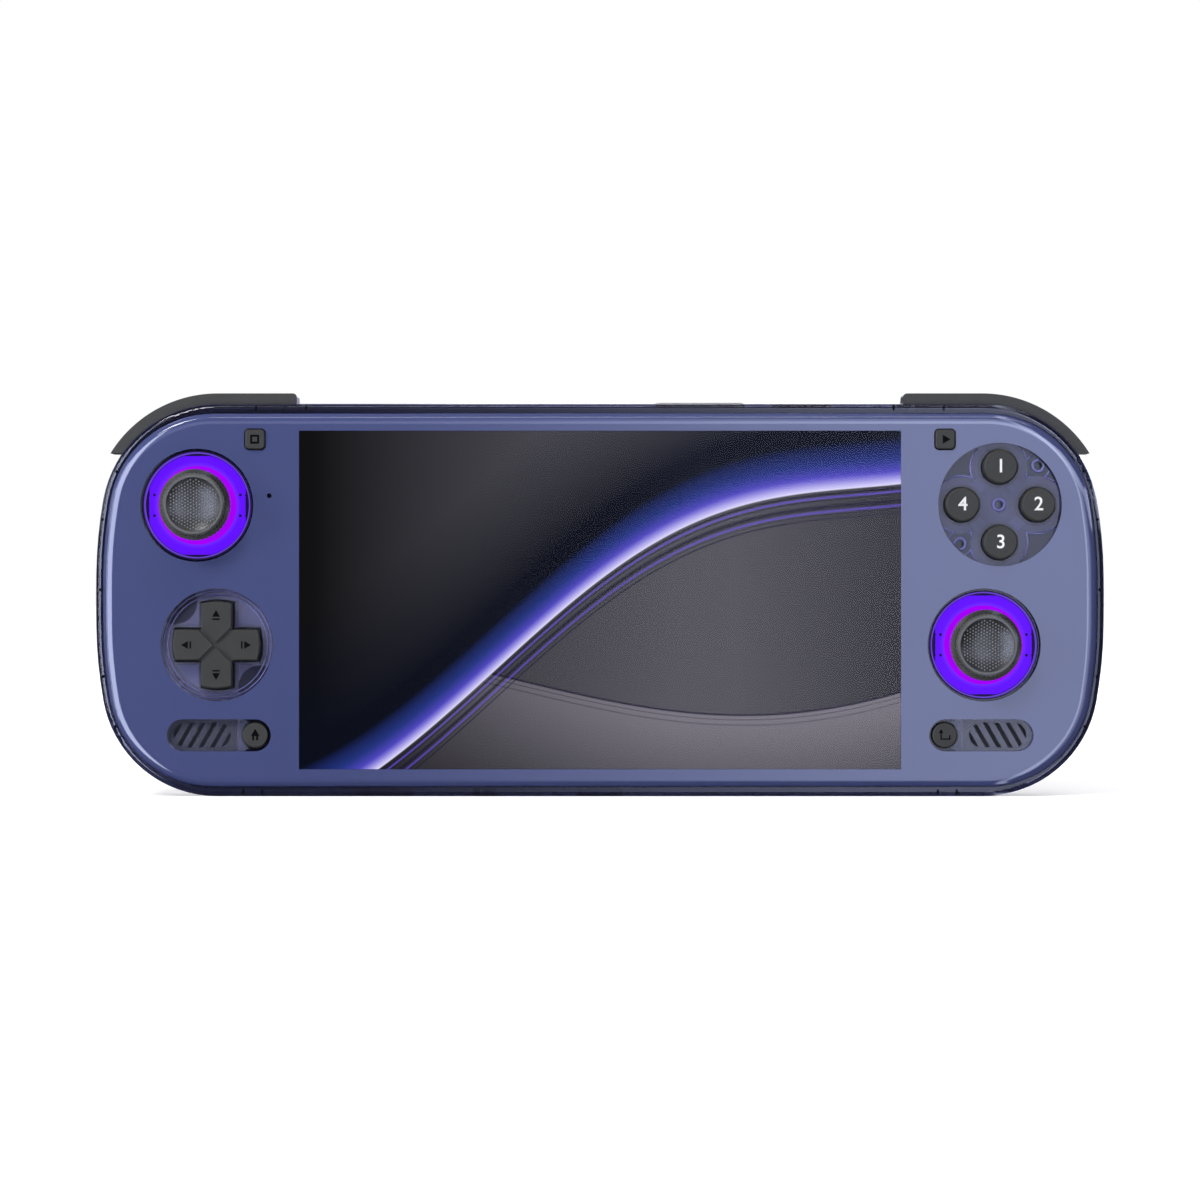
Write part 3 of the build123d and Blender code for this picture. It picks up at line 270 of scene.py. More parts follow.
insideZ = maths("LESS_THAN", maths("ABSOLUTE", offMiddle), halfTall)
clearMask = maths("MULTIPLY", insideX, insideZ)
flow = addNode(tree, "ShaderNodeTexNoise", None, {"Vector": place, "Scale": 9.0})
inkTone = addNode(tree, "ShaderNodeMix", {"data_type": "RGBA"},
                  {0: flow.outputs["Fac"], 6: tint(*glassPaint["colour"]), 7: tint(*glassPaint["warm"])})
inkOrClear = addNode(tree, "ShaderNodeMix", {"data_type": "RGBA"},
                     {0: clearMask, 6: inkTone.outputs[2], 7: (1, 1, 1, 1)})
tree.links.new(inkOrClear.outputs[2], shader.inputs["Base Color"])
tree.links.new(clearMask, shader.inputs["Transmission Weight"])
coatWeight = maths("SUBTRACT", 1.0, maths("MULTIPLY", clearMask, glassPaint["coatDrop"]))
tree.links.new(coatWeight, shader.inputs["Coat Weight"])
printMask = maths("SUBTRACT", 1.0, clearMask)
tree.links.new(maths("MULTIPLY", printMask, glassPaint["roughness"]), shader.inputs["Roughness"])

# The front of the glass falls away near its outline, which is a line and three arcs a quarter
glassCurve = {"flankRadius": 412.55 * mm, "flankTurn": 0.72, "shoulderRadius": 93.55 * mm, "shoulderTurn": 9.24,
              "band": 2.4 * mm, "fall": 0.08 * mm}
glassLow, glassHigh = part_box("front_glass")
glassWide = (glassHigh.x - glassLow.x) / 2
glassTall = (glassHigh.z - glassLow.z) / 2
shoulderUpTo = glassCurve["flankTurn"] + glassCurve["shoulderTurn"]
turns = (0, radians(glassCurve["flankTurn"]), radians(shoulderUpTo), pi / 2)
flankX = glassWide - glassCurve["flankRadius"]
shoulderStep = glassCurve["flankRadius"] - glassCurve["shoulderRadius"]
shoulderSpot = (flankX + shoulderStep * cos(turns[1]), shoulderStep * sin(turns[1]))
shoulderEnd = (shoulderSpot[0] + glassCurve["shoulderRadius"] * cos(turns[2]),
               shoulderSpot[1] + glassCurve["shoulderRadius"] * sin(turns[2]))
cornerRadius = (glassTall - shoulderEnd[1]) / (1 - sin(turns[2]))
cornerSpot = (shoulderEnd[0] - cornerRadius * cos(turns[2]), glassTall - cornerRadius)
quarterX = maths("ABSOLUTE", split.outputs["X"])
quarterZ = maths("ABSOLUTE", maths("SUBTRACT", split.outputs["Z"], (glassLow.z + glassHigh.z) / 2))
fromEdge = maths("SUBTRACT", glassTall, quarterZ)
for spot, radius, low, high in (((flankX, 0), glassCurve["flankRadius"], turns[0], turns[1]),
                                (shoulderSpot, glassCurve["shoulderRadius"], turns[1], turns[2]),
                                (cornerSpot, cornerRadius, turns[2], turns[3])):
    offX = maths("SUBTRACT", quarterX, spot[0])
    offZ = maths("SUBTRACT", quarterZ, spot[1])
    alongs = [maths("ADD", maths("MULTIPLY", offX, cos(turn)), maths("MULTIPLY", offZ, sin(turn)))
              for turn in (low, high)]
    pastLow = maths("SUBTRACT", maths("MULTIPLY", offZ, cos(low)), maths("MULTIPLY", offX, sin(low)))
    toHigh = maths("SUBTRACT", maths("MULTIPLY", offX, sin(high)), maths("MULTIPLY", offZ, cos(high)))
    inWedge = maths("MULTIPLY", maths("GREATER_THAN", pastLow, 0.0),
                    maths("GREATER_THAN", toHigh, 0.0))
    outerAlong = maths("MAXIMUM", *alongs)
    beyondAlong = maths("SUBTRACT", flatReach(offX, offZ), outerAlong)
    reach = maths("ADD", outerAlong, maths("MULTIPLY", inWedge, beyondAlong))
    fromEdge = maths("MINIMUM", fromEdge, maths("SUBTRACT", radius, reach))
intoBand = maths("DIVIDE", maths("MAXIMUM", maths("SUBTRACT", glassCurve["band"], fromEdge), 0.0), mm)
fallHeight = maths("MULTIPLY", maths("MULTIPLY", intoBand, intoBand), -1.0)
edgeFall = addNode(tree, "ShaderNodeBump", None,
                   {"Strength": 1.0, "Distance": glassCurve["fall"], "Height": fallHeight})
tree.links.new(edgeFall.outputs[0], shader.inputs["Normal"])
tree.links.new(edgeFall.outputs[0], shader.inputs["Coat Normal"])
paint(coverGlass, "front_glass")

# Screen: grey folds and two ribbons, one with a white and violet edge
screenArt = {"dark": (17, 17, 19), "mid": (84, 82, 90), "light": (122, 118, 128), "line": (24, 20, 44),
             "edge": (232, 228, 255), "glow": (104, 78, 224), "blue": (46, 66, 158), "night": (11, 14, 26),
             "ribbonLines": ((0.010, 0.006, 0.95), (0.030, 0.004, 0.7), (0.052, 0.012, 0.9),
                             (0.078, 0.003, 0.6), (0.092, 0.005, 0.8)),
             "violetLines": ((0.021, 0.005, 0.7), (0.068, 0.006, 0.6)),
             "swellLines": ((0.0, 0.006, 0.9), (0.016, 0.003, 0.6), (0.034, 0.004, 0.5)),
             "ribbonWave": (-0.06, 0.50, 0.16, 2.6, 0.9), "swellWave": (-0.24, 0.10, 0.20, 1.7, 3.6),
             "leftFade": (0.95, 1.2), "rightFade": (0.45, 0.9), "foldFade": 0.42, "glowFade": 0.09,
             "nightFade": (0.04, 0.12), "greyFade": (0.22, 0.45), "edgeFade": (0.05, 1.6), "seam": 0.004}
display, tree, shader = startMaterial("litScreen", (4, 4, 5), 0.3, {"Specular IOR Level": 0.03})
place = objectPlace()
split = addNode(tree, "ShaderNodeSeparateXYZ", None, {0: place})
across = maths("DIVIDE", split.outputs["X"], halfWide)
upward = maths("DIVIDE", maths("SUBTRACT", split.outputs["Z"], screenMiddle.z), halfWide)


# Distance above a wave that crosses the screen
def aboveWave(height, slope, swing, rate, start):
    ride = maths("SINE", maths("ADD", maths("MULTIPLY", across, rate), start))
    line = maths("ADD", maths("MULTIPLY", ride, swing), maths("MULTIPLY", across, slope))
    return maths("SUBTRACT", upward, maths("ADD", line, height))


def fade(distance, width):
    away = maths("DIVIDE", maths("ABSOLUTE", distance), width)
    return maths("SUBTRACT", 1.0, maths("MINIMUM", away, 1.0))


# From 0 to 1 past a start, over a width
def pastFade(distance, start, width):
    return side(maths("SUBTRACT", distance, start), width)


ribbon = aboveWave(*screenArt["ribbonWave"])
swell = aboveWave(*screenArt["swellWave"])
underSwell = maths("MULTIPLY", swell, -1.0)
low = tint(*screenArt["dark"])
middle = tint(*screenArt["mid"])
fromLeft = pastFade(across, -screenArt["leftFade"][0], screenArt["leftFade"][1])
grey = blendColour(fromLeft, low, middle)
shade = blendColour(pastFade(across, *screenArt["rightFade"]), grey, low)
below = side(underSwell, screenArt["seam"])
fold = blendColour(side(underSwell, screenArt["foldFade"]), tint(*screenArt["light"]), low)
shade = blendColour(maths("MULTIPLY", below, fromLeft), shade, fold)
for offset, width, strength in screenArt["swellLines"]:
    line = fade(maths("ADD", swell, offset), width)
    shade = blendColour(maths("MULTIPLY", line, strength), shade, tint(*screenArt["line"]))
sky = blendColour(side(ribbon, screenArt["glowFade"]), tint(*screenArt["glow"]), tint(*screenArt["blue"]))
sky = blendColour(pastFade(ribbon, *screenArt["nightFade"]), sky, tint(*screenArt["night"]))
sky = blendColour(pastFade(ribbon, *screenArt["greyFade"]), sky, grey)
edgeWidth, edgePower = screenArt["edgeFade"]
sky = blendColour(maths("POWER", fade(ribbon, edgeWidth), edgePower), sky, tint(*screenArt["edge"]))
shade = blendColour(side(ribbon, screenArt["seam"]), shade, sky)
for name, tone in (("violetLines", "glow"), ("ribbonLines", "line")):
    for offset, width, strength in screenArt[name]:
        line = fade(maths("ADD", ribbon, offset), width)
        shade = blendColour(maths("MULTIPLY", line, strength), shade, tint(*screenArt[tone]))
tree.links.new(shade, shader.inputs["Emission Color"])
shader.inputs["Emission Strength"].default_value = 1.0
paint(display, "display_panel")

# See-through housing: dark at the rims, paler where the windows in the glass show it
shellTones = {"rim": (54, 56, 84), "rimPale": (74, 76, 110), "pad": (186, 188, 222), "petal": (112, 114, 138),
              "faceOuter": (76, 80, 102), "faceInner": (132, 132, 176), "pill": (168, 172, 206),
              "back": (106, 108, 170), "backLow": (98, 100, 160), "backHigh": (112, 114, 178)}
shellHaze = {"Scale": 60.0, "Detail": 2.0}
windowSizes = {"pad": 11.6 * mm, "petalFrom": 8.6 * mm, "petal": 4.4 * mm, "face": 13.0 * mm,
               "guide": 5.85 * mm, "faceCore": 6.4 * mm, "pillHalf": 7.3 * mm, "pillRadius": 3.4 * mm}
clearShell, tree, shader = startMaterial(
    "clearIndigo", shellTones["rim"], 0.05,
    {"IOR": 1.40, "Transmission Weight": 0.8, "Specular IOR Level": 0.18})
place = objectPlace()
split = addNode(tree, "ShaderNodeSeparateXYZ", None, {0: place})
haze = addNode(tree, "ShaderNodeTexNoise", None, {"Vector": place, **shellHaze})
shellTone = blendColour(haze.outputs["Fac"], tint(*shellTones["rim"]), tint(*shellTones["rimPale"]))
padMiddle = middleOf("pad_key")
shellTone = blendColour(within(padMiddle, windowSizes["pad"]), shellTone, tint(*shellTones["pad"]))
for way in (-1, 1):
    petalSpot = padMiddle + Vector((way, 0, -way)) * windowSizes["petalFrom"]
    inPetal = maths("MULTIPLY", within(petalSpot, windowSizes["petal"]), within(padMiddle, windowSizes["pad"]))
    shellTone = blendColour(inPetal, shellTone, tint(*shellTones["petal"]))
buttonSpots = [middleOf(f"face_button_{n}") for n in (1, 2, 3, 4)]
faceMiddle = sum(buttonSpots, Vector()) / 4
shellTone = blendColour(within(faceMiddle, windowSizes["face"]), shellTone, tint(*shellTones["faceOuter"]))
paleSpots = [(spot, windowSizes["guide"]) for spot in buttonSpots] + [(faceMiddle, windowSizes["faceCore"])]
for spot, radius in paleSpots:
    shellTone = blendColour(within(spot, radius), shellTone, tint(*shellTones["faceInner"]))
for name in ("left_speaker", "right_speaker"):
    spot = middleOf(name)
    along = maths("ABSOLUTE", maths("SUBTRACT", split.outputs["X"], spot.x))
    pastHalf = maths("MAXIMUM", maths("SUBTRACT", along, windowSizes["pillHalf"]), 0.0)
    offZ = maths("SUBTRACT", split.outputs["Z"], spot.z)
    onPill = maths("LESS_THAN", flatReach(pastHalf, offZ), windowSizes["pillRadius"])
    shellTone = blendColour(onPill, shellTone, tint(*shellTones["pill"]))
tree.links.new(shellTone, shader.inputs["Base Color"])
paint(clearShell, "front_shell")

# The back half lets light in, so that the battery, boards and screws show through it
clearBack, tree, shader = startMaterial("clearIndigoBack", shellTones["back"], 0.08, {"Alpha": 0.3})
haze = addNode(tree, "ShaderNodeTexNoise", None, {"Vector": objectPlace(), **shellHaze})
backTone = blendColour(haze.outputs["Fac"], tint(*shellTones["backLow"]), tint(*shellTones["backHigh"]))
tree.links.new(backTone, shader.inputs["Base Color"])
paint(clearBack, "back_shell")

# Dark warm grey plastic of the buttons, a little lighter on the shoulders
buttonPlastic, tree, shader = startMaterial("buttonPlastic", (58, 58, 56), 0.34, {"Specular IOR Level": 0.1})
addGrain(tree, shader, 2600.0, 0.5, ((54, 54, 52), (62, 62, 59)))
paint(buttonPlastic, "pad_key", "select_button", "start_button", "home_button", "back_button",
      "face_button_1", "face_button_2", "face_button_3", "face_button_4")
shoulderPlastic, tree, shader = startMaterial("shoulderPlastic", (64, 64, 62), 0.36,
                                              {"Specular IOR Level": 0.12})
addGrain(tree, shader, 2200.0, 0.45, ((60, 60, 58), (68, 68, 65)))
paint(shoulderPlastic, "left_bumper", "right_bumper", "left_trigger", "right_trigger", "volume_key",
      "power_key")

# Rubber of the stick caps, with painted shade: the bowl of the hollow is darker, and the valleys between the
# teeth are painted near black
stickRubber, tree, shader = startMaterial("stickRubber", (88, 88, 87), 0.32, {"Specular IOR Level": 0.3})
addGrain(tree, shader, 3200.0, 0.6, ((74, 74, 73), (92, 92, 90)))
# Painted shade: a near-black tone in the valleys of the teeth and a darker tone over the bowl of the hollow
toothShade = {"radius": 6.45 * mm, "spread": 0.35, "from": 0.7 * mm, "rim": 5.95 * mm, "depth": 0.45 * mm,
              "dark": (10, 10, 10), "bowlRadius": 5.4 * mm, "bowl": (44, 44, 44)}
split = addNode(tree, "ShaderNodeSeparateXYZ", None, {0: objectPlace()})
fromFront = maths("SUBTRACT", maths("SUBTRACT", split.outputs["Y"], frontOf("left_stick")),
                  toothShade["from"])
fromCentre = maths("MINIMUM", *(spotReach(middleOf(name + "_ring_light")) for name in ("left", "right")))
toothEdge = maths("ADD", maths("MULTIPLY", fromFront, toothShade["spread"]), toothShade["radius"])
valleyShade = side(maths("SUBTRACT", toothEdge, fromCentre), toothShade["depth"])
onBelt = maths("MULTIPLY", maths("GREATER_THAN", fromFront, 0.0),
               maths("GREATER_THAN", fromCentre, toothShade["rim"]))
tone = shader.inputs["Base Color"].links[0].from_socket
tone = blendColour(maths("LESS_THAN", fromCentre, toothShade["bowlRadius"]), tone, tint(*toothShade["bowl"]))
tree.links.new(blendColour(maths("MULTIPLY", valleyShade, onBelt), tone, tint(*toothShade["dark"])),
               shader.inputs["Base Color"])
dotRubber, tree, shader = startMaterial("dotRubber", (128, 128, 128), 0.35, {"Specular IOR Level": 0.3})
addGrain(tree, shader, 3200.0, 0.4, ((118, 118, 118), (136, 136, 135)))
paint(stickRubber, "left_stick", "right_stick")

# Rubber mats, boards, metals and the rest that shows dimly through the housing
matRubber, tree, shader = startMaterial("matRubber", (150, 150, 178), 0.65)
addGrain(tree, shader, 1500.0, 0.3, ((140, 140, 168), (160, 160, 188)))
paint(matRubber, "pad_mat", "face_mat")

circuitBoard, tree, shader = startMaterial("circuitBoard", (24, 26, 44), 0.35)
boardPlace = addNode(tree, "ShaderNodeMapping", None, {"Vector": objectPlace(), "Rotation": (pi / 2, 0, 0)})
tracks = addNode(tree, "ShaderNodeTexBrick", {"offset": 0.37, "squash": 1.0},
                 {"Vector": boardPlace.outputs[0], "Color1": tint(26, 30, 50), "Color2": tint(34, 38, 62),
                  "Mortar": tint(78, 74, 70), "Scale": 220.0, "Mortar Size": 0.012})
tree.links.new(tracks.outputs["Color"], shader.inputs["Base Color"])
paint(circuitBoard, "main_board", "key_board", "left_control_board", "right_control_board",
      "left_stick_board", "right_stick_board")

satinMetal, tree, shader = startMaterial("satinMetal", (176, 178, 184), 0.32, {"Metallic": 1.0})
addGrain(tree, shader, 900.0, 0.25, ((160, 162, 168), (188, 190, 196)))
paint(satinMetal, "mid_frame", "processor_shield", "card_holder", "pad_ball", "charging_socket", "board_screws",
      "left_bumper_pin", "right_bumper_pin", "left_trigger_pin", "right_trigger_pin")
screwSteel, tree, shader = startMaterial("screwSteel", (52, 52, 56), 0.34, {"Metallic": 1.0})
addGrain(tree, shader, 1200.0, 0.3, ((44, 44, 48), (60, 60, 64)))
paint(screwSteel, "case_screws")
copperSheet, tree, shader = startMaterial("copperSheet", (196, 122, 88), 0.3, {"Metallic": 1.0})
addGrain(tree, shader, 700.0, 0.3, ((182, 110, 78), (206, 134, 98)))
paint(copperSheet, "heat_spreader")
batteryWrap, tree, shader = startMaterial("batteryWrap", (30, 31, 36), 0.45)
addGrain(tree, shader, 300.0, 0.4, ((26, 27, 32), (36, 37, 43)))
paint(batteryWrap, "battery_pack")
blackPlastic, tree, shader = startMaterial("blackPlastic", (20, 20, 22), 0.42)
addGrain(tree, shader, 1800.0, 0.4, ((16, 16, 18), (25, 25, 27)))
paint(blackPlastic, "headphone_socket", "push_switches", "left_speaker", "right_speaker",
      "left_stick_housing", "right_stick_housing", "left_stick_rocker", "right_stick_rocker",
      "left_stick_yoke", "right_stick_yoke")

# Woven cloth behind the speaker slots
speakerCloth, tree, shader = startMaterial("speakerCloth", (22, 22, 25), 0.8)
place = objectPlace()
weave = addNode(tree, "ShaderNodeTexChecker", None,
                {"Vector": place, "Scale": 2400.0, "Color1": tint(16, 16, 18), "Color2": tint(34, 34, 38)})
tree.links.new(weave.outputs["Color"], shader.inputs["Base Color"])
paint(speakerCloth, "left_speaker_mesh", "right_speaker_mesh")

# Lit ring: a square light board seen through a round frosted ring, and a painted glow on the skirt that stands
# for the ring's light reflected there
ringGlow = {"colour": (98, 12, 255), "inner": (116, 40, 255), "lip": (168, 0, 248), "rim": (104, 66, 210),
            "rimDark": (30, 22, 58), "dark": (20, 8, 56), "body": (14, 10, 26), "lit": (30, 6, 84),
            "halfWide": 9.75 * mm, "halfTall": 10.0 * mm,
            "lipRadius": 7.98 * mm, "lipFade": 0.9 * mm, "rimRadius": 10.35 * mm, "rimLine": 10.62 * mm,
            "lineHalf": 0.13 * mm, "dots": ((8.7 * mm, 2.1 * mm), (9.95 * mm, 2.1 * mm)), "dotRadius": 0.3 * mm,
            "skirtGlowFrom": 6.0 * mm, "skirtGlowRise": 0.7 * mm, "strength": 0.95, "skirtPaintedGlow": 0.85}
skirtGlowPlastics = {}
for name in ("left", "right"):
    ringLight, tree, shader = startMaterial(name + "RingGlow", ringGlow["lit"], 0.3,
                                            {"Specular IOR Level": 0.04})
    centre = middleOf(name + "_ring_light")
    split = addNode(tree, "ShaderNodeSeparateXYZ", None, {0: objectPlace()})
    offX = maths("ABSOLUTE", maths("SUBTRACT", split.outputs["X"], centre.x))
    offZ = maths("ABSOLUTE", maths("SUBTRACT", split.outputs["Z"], centre.z))
    radius = spotReach(centre)
    onBoard = maths("MULTIPLY", maths("LESS_THAN", offX, ringGlow["halfWide"]),
                    maths("LESS_THAN", offZ, ringGlow["halfTall"]))
    glow = blendColour(onBoard, tint(*ringGlow["dark"]), tint(*ringGlow["colour"]))
    pastLip = maths("SUBTRACT", radius, ringGlow["lipRadius"])
    nearInner = maths("SUBTRACT", 1.0, side(pastLip, ringGlow["lipFade"]))
    glow = blendColour(nearInner, glow, tint(*ringGlow["inner"]))
    glow = blendColour(maths("LESS_THAN", radius, ringGlow["lipRadius"]), glow, tint(*ringGlow["lip"]))
    glow = blendColour(maths("GREATER_THAN", radius, ringGlow["rimRadius"]), glow, tint(*ringGlow["rimDark"]))
    offLine = maths("ABSOLUTE", maths("SUBTRACT", radius, ringGlow["rimLine"]))
    glow = blendColour(maths("LESS_THAN", offLine, ringGlow["lineHalf"]), glow, tint(*ringGlow["rim"]))
    for dotX, dotZ in ringGlow["dots"]:
        awayX = maths("SUBTRACT", offX, dotX)
        awayZ = maths("SUBTRACT", offZ, dotZ)
        onDot = maths("LESS_THAN", flatReach(awayX, awayZ), ringGlow["dotRadius"])
        glow = blendColour(onDot, glow, tint(*ringGlow["body"]))
    tree.links.new(glow, shader.inputs["Emission Color"])
    shader.inputs["Emission Strength"].default_value = ringGlow["strength"]
    lit = maths("MULTIPLY", onBoard, maths("LESS_THAN", radius, ringGlow["rimRadius"]))
    ringBody = blendColour(lit, tint(*ringGlow["body"]), tint(*ringGlow["lit"]))
    tree.links.new(ringBody, shader.inputs["Base Color"])
    paint(ringLight, name + "_ring_light")
    skirtGlowPlastics[name], tree, shader = startMaterial(name + "SkirtPlasticPaintedGlow", (14, 14, 15), 0.3)
    addGrain(tree, shader, 2400.0, 0.3, ((12, 12, 13), (17, 17, 18)))
    split = addNode(tree, "ShaderNodeSeparateXYZ", None, {0: objectPlace()})
    # Painted glow: the black skirt emits the lip's magenta near the ring, in place of the ring's light
    # reflected on it
    paintedRingGlow = side(maths("SUBTRACT", spotReach(centre), ringGlow["skirtGlowFrom"]), ringGlow["skirtGlowRise"])
    tree.links.new(blendColour(paintedRingGlow, (0, 0, 0, 1), tint(*ringGlow["lip"])), shader.inputs["Emission Color"])
    shader.inputs["Emission Strength"].default_value = ringGlow["skirtPaintedGlow"]
print("materials on the packed pieces")


# What the modelling steps share
def startEdit():
    bpy.ops.object.mode_set(mode="EDIT")
    bpy.ops.mesh.select_mode(type="VERT")
    bpy.ops.mesh.select_all(action="SELECT")


def endEdit():
    bpy.ops.object.mode_set(mode="OBJECT")


def pickVertices(piece, wanted):
    bpy.ops.object.mode_set(mode="OBJECT")
    for polygon in piece.data.polygons:
        polygon.select = False
    for edge in piece.data.edges:
        edge.select = False
    for vertex in piece.data.vertices:
        vertex.select = wanted(piece.matrix_world @ vertex.co)
    bpy.ops.object.mode_set(mode="EDIT")


def settle(piece, name, body, slotName, material, angle=35):
    bpy.ops.object.select_all(action="DESELECT")
    piece.select_set(True)
    bpy.context.view_layer.objects.active = piece
    bpy.ops.object.transform_apply(location=True, rotation=True, scale=True)
    piece.name = name
    piece.data.materials.clear()
    piece.data.materials.append(material)
    bpy.ops.object.shade_smooth_by_angle(angle=radians(angle))
    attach(piece, body)
    return piece


def joinPieces(pieces):
    bpy.ops.object.select_all(action="DESELECT")
    for piece in pieces:
        piece.select_set(True)
    bpy.context.view_layer.objects.active = pieces[0]
    bpy.ops.object.join()
    return bpy.context.object


# A many-sided plate that faces the player, raised by a height
def facePlate(place, radius, sides, height, spin=0.0):
    bpy.ops.object.select_all(action="DESELECT")
    bpy.ops.mesh.primitive_circle_add(vertices=sides, radius=radius, fill_type="NGON", location=place,
                                      rotation=(radians(90), radians(spin), 0))
    piece = bpy.context.object
    startEdit()
    bpy.ops.mesh.extrude_region_move(TRANSFORM_OT_translate={"value": (0, -height, 0)})
    bpy.ops.mesh.select_all(action="SELECT")
    bpy.ops.mesh.normals_make_consistent(inside=False)
    endEdit()
    return piece


# A rectangular bar that faces the player
def faceBar(place, width, tall, height):
    piece = facePlate(place, sqrt(0.5), 4, height, 45)
    bpy.ops.object.select_all(action="DESELECT")
    piece.select_set(True)
    bpy.context.view_layer.objects.active = piece
    bpy.ops.object.transform_apply(location=False, rotation=True, scale=False)
    piece.scale = (width, 1, tall)
    bpy.ops.object.transform_apply(location=False, rotation=False, scale=True)
    return piece


# A half-round ridge that runs round a circle where it is wanted
def faceRidge(place, radius, thick, wanted=None, steps=120):
    bpy.ops.object.select_all(action="DESELECT")
    bpy.ops.mesh.primitive_torus_add(major_radius=radius, minor_radius=thick, major_segments=steps,
                                     minor_segments=8, location=place, rotation=frontFacing)
    piece = bpy.context.object
    if wanted is not None:
        bpy.context.view_layer.update()
        pickVertices(piece, lambda point: not wanted(point))
        bpy.ops.mesh.delete(type="VERT")
        bpy.ops.mesh.select_all(action="SELECT")
        bpy.ops.mesh.fill_holes(sides=0)
        endEdit()
    return piece


# Numbers on the face buttons
numberMark = {"size": 3.9 * mm, "raise": 0.04 * mm, "thick": 0.1 * mm, "bold": 0.04 * mm}
printWhite, tree, shader = startMaterial("printWhite", (250, 250, 250), 0.4)
addGrain(tree, shader, 2000.0, 0.1, ((246, 246, 246), (252, 252, 252)))
for number in (1, 2, 3, 4):
    button = f"face_button_{number}"
    centre = middleOf(button)
    bpy.ops.object.select_all(action="DESELECT")
    bpy.ops.object.text_add(location=(0, 0, 0))
    text = bpy.context.object
    text.data.body = str(number)
    text.data.align_x = "CENTER"
    text.data.align_y = "CENTER"
    text.data.size = numberMark["size"]
    text.data.extrude = numberMark["thick"] / 2
    text.data.offset = numberMark["bold"]
    bpy.ops.object.convert(target="MESH")
    text = bpy.context.object
    text.rotation_euler = frontFacing
    text.location = (centre.x, frontOf(button) - numberMark["raise"] + numberMark["thick"] / 2, centre.z)
    settle(text, f"number_{number}", button, "button_plastic", printWhite)
print("numbers on the face buttons")

# Sunk marks on the direction pad and the small buttons
markInk, tree, shader = startMaterial("markInk", (8, 8, 8), 0.6, {"Specular IOR Level": 0.02})
addGrain(tree, shader, 2000.0, 0.2, ((6, 6, 6), (11, 11, 11)))
padMark = {"fromMiddle": 6.15 * mm, "triangle": 0.92 * mm, "bar": (1.5 * mm, 0.32 * mm), "barGap": 0.95 * mm,
           "thick": 0.06 * mm}
padFront = frontOf("pad_key")
marks = []
for turn in range(4):
    heading = turn * pi / 2
    outward = Vector((sin(heading), 0, cos(heading)))
    spot = padMiddle + outward * padMark["fromMiddle"]
    spot.y = padFront + padMark["thick"] / 2
    marks.append(facePlate(spot, padMark["triangle"], 3, padMark["thick"], 90 * turn))
    barSpot = spot - outward * padMark["barGap"]
    wide, tall = padMark["bar"] if turn % 2 == 0 else reversed(padMark["bar"])
    marks.append(faceBar(barSpot, wide, tall, padMark["thick"]))
settle(joinPieces(marks), "pad_marks", "pad_key", "button_plastic", markInk)

# Small marks, in millimetres from the middle of their button: a place and a size
smallMark = {"thick": 0.06 * mm, "startRadius": 1.0625 * mm, "roofUp": 0.35, "roofRadius": 1.02 * mm,
             "tip": (-0.75, 0.75), "tipRadius": 0.55 * mm}
selectBars = ((0, -0.7, 1.8, 0.4), (0, 0.7, 1.8, 0.4), (-0.7, 0, 0.4, 1.0), (0.7, 0, 0.4, 1.0))
homeBars = ((-0.4, -0.55, 0.4, 0.9), (0.4, -0.55, 0.4, 0.9))
backBars = ((0.15, -0.75, 2.0, 0.26), (1.0, -0.4, 0.26, 0.95), (-0.75, 0, 0.26, 1.5))


def markSpot(button, x=0.0, z=0.0):
    middle = middleOf(button)
    return Vector((middle.x + x * mm, frontOf(button) + smallMark["thick"] / 2, middle.z + z * mm))


def markBars(button, bars):
    return [faceBar(markSpot(button, x, z), wide * mm, tall * mm, smallMark["thick"])
            for x, z, wide, tall in bars]


def markTriangle(button, radius, x=0.0, z=0.0, spin=0.0):
    return facePlate(markSpot(button, x, z), radius, 3, smallMark["thick"], spin)


smallMarks = {"select": markBars("select_button", selectBars),
              "start": [markTriangle("start_button", smallMark["startRadius"], spin=90)],
              "home": [markTriangle("home_button", smallMark["roofRadius"], z=smallMark["roofUp"])]
              + markBars("home_button", homeBars),
              "back": markBars("back_button", backBars)
              + [markTriangle("back_button", smallMark["tipRadius"], *smallMark["tip"])]}
for name, parts in smallMarks.items():
    settle(joinPieces(parts), name + "_mark", name + "_button", "button_plastic", markInk)
print("marks on the buttons")

# Ridges moulded into the housing under the control windows
ridgePlastic, tree, shader = startMaterial("ridgePlastic", (128, 128, 204), 0.2,
                                           {"Transmission Weight": 0.3, "IOR": 1.46})
addGrain(tree, shader, 500.0, 0.1, ((118, 118, 196), (138, 138, 214)))
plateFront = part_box("front_glass")[1].y
faceRidges = {"window": 12.3 * mm, "guide": 5.85 * mm, "thick": 0.16 * mm, "detour": 2.5 * mm,
              "inner": 6.4 * mm, "detourFrom": 9.3 * mm, "boss": 1.15 * mm, "bossThick": 0.3 * mm,
              "bossFrom": 7.93 * mm}
faceMiddle.y = plateFront
bossSpots = [faceMiddle + Vector((way, 0, way)) * faceRidges["bossFrom"] for way in (-1, 1)]


def flatGap(point, spot):
    return hypot(point.x - spot.x, point.z - spot.z)


def inWindow(point):
    return flatGap(point, faceMiddle) < faceRidges["window"]


# In the window, further than a reach from its middle, and clear of the spots of two kinds
def onFace(point, fromMiddle, guides, detours):
    offGuides = all(flatGap(point, spot) > faceRidges["guide"] for spot in guides)
    offDetours = all(flatGap(point, spot) > faceRidges["detour"] for spot in detours)
    return inWindow(point) and offGuides and offDetours and flatGap(point, faceMiddle) > fromMiddle


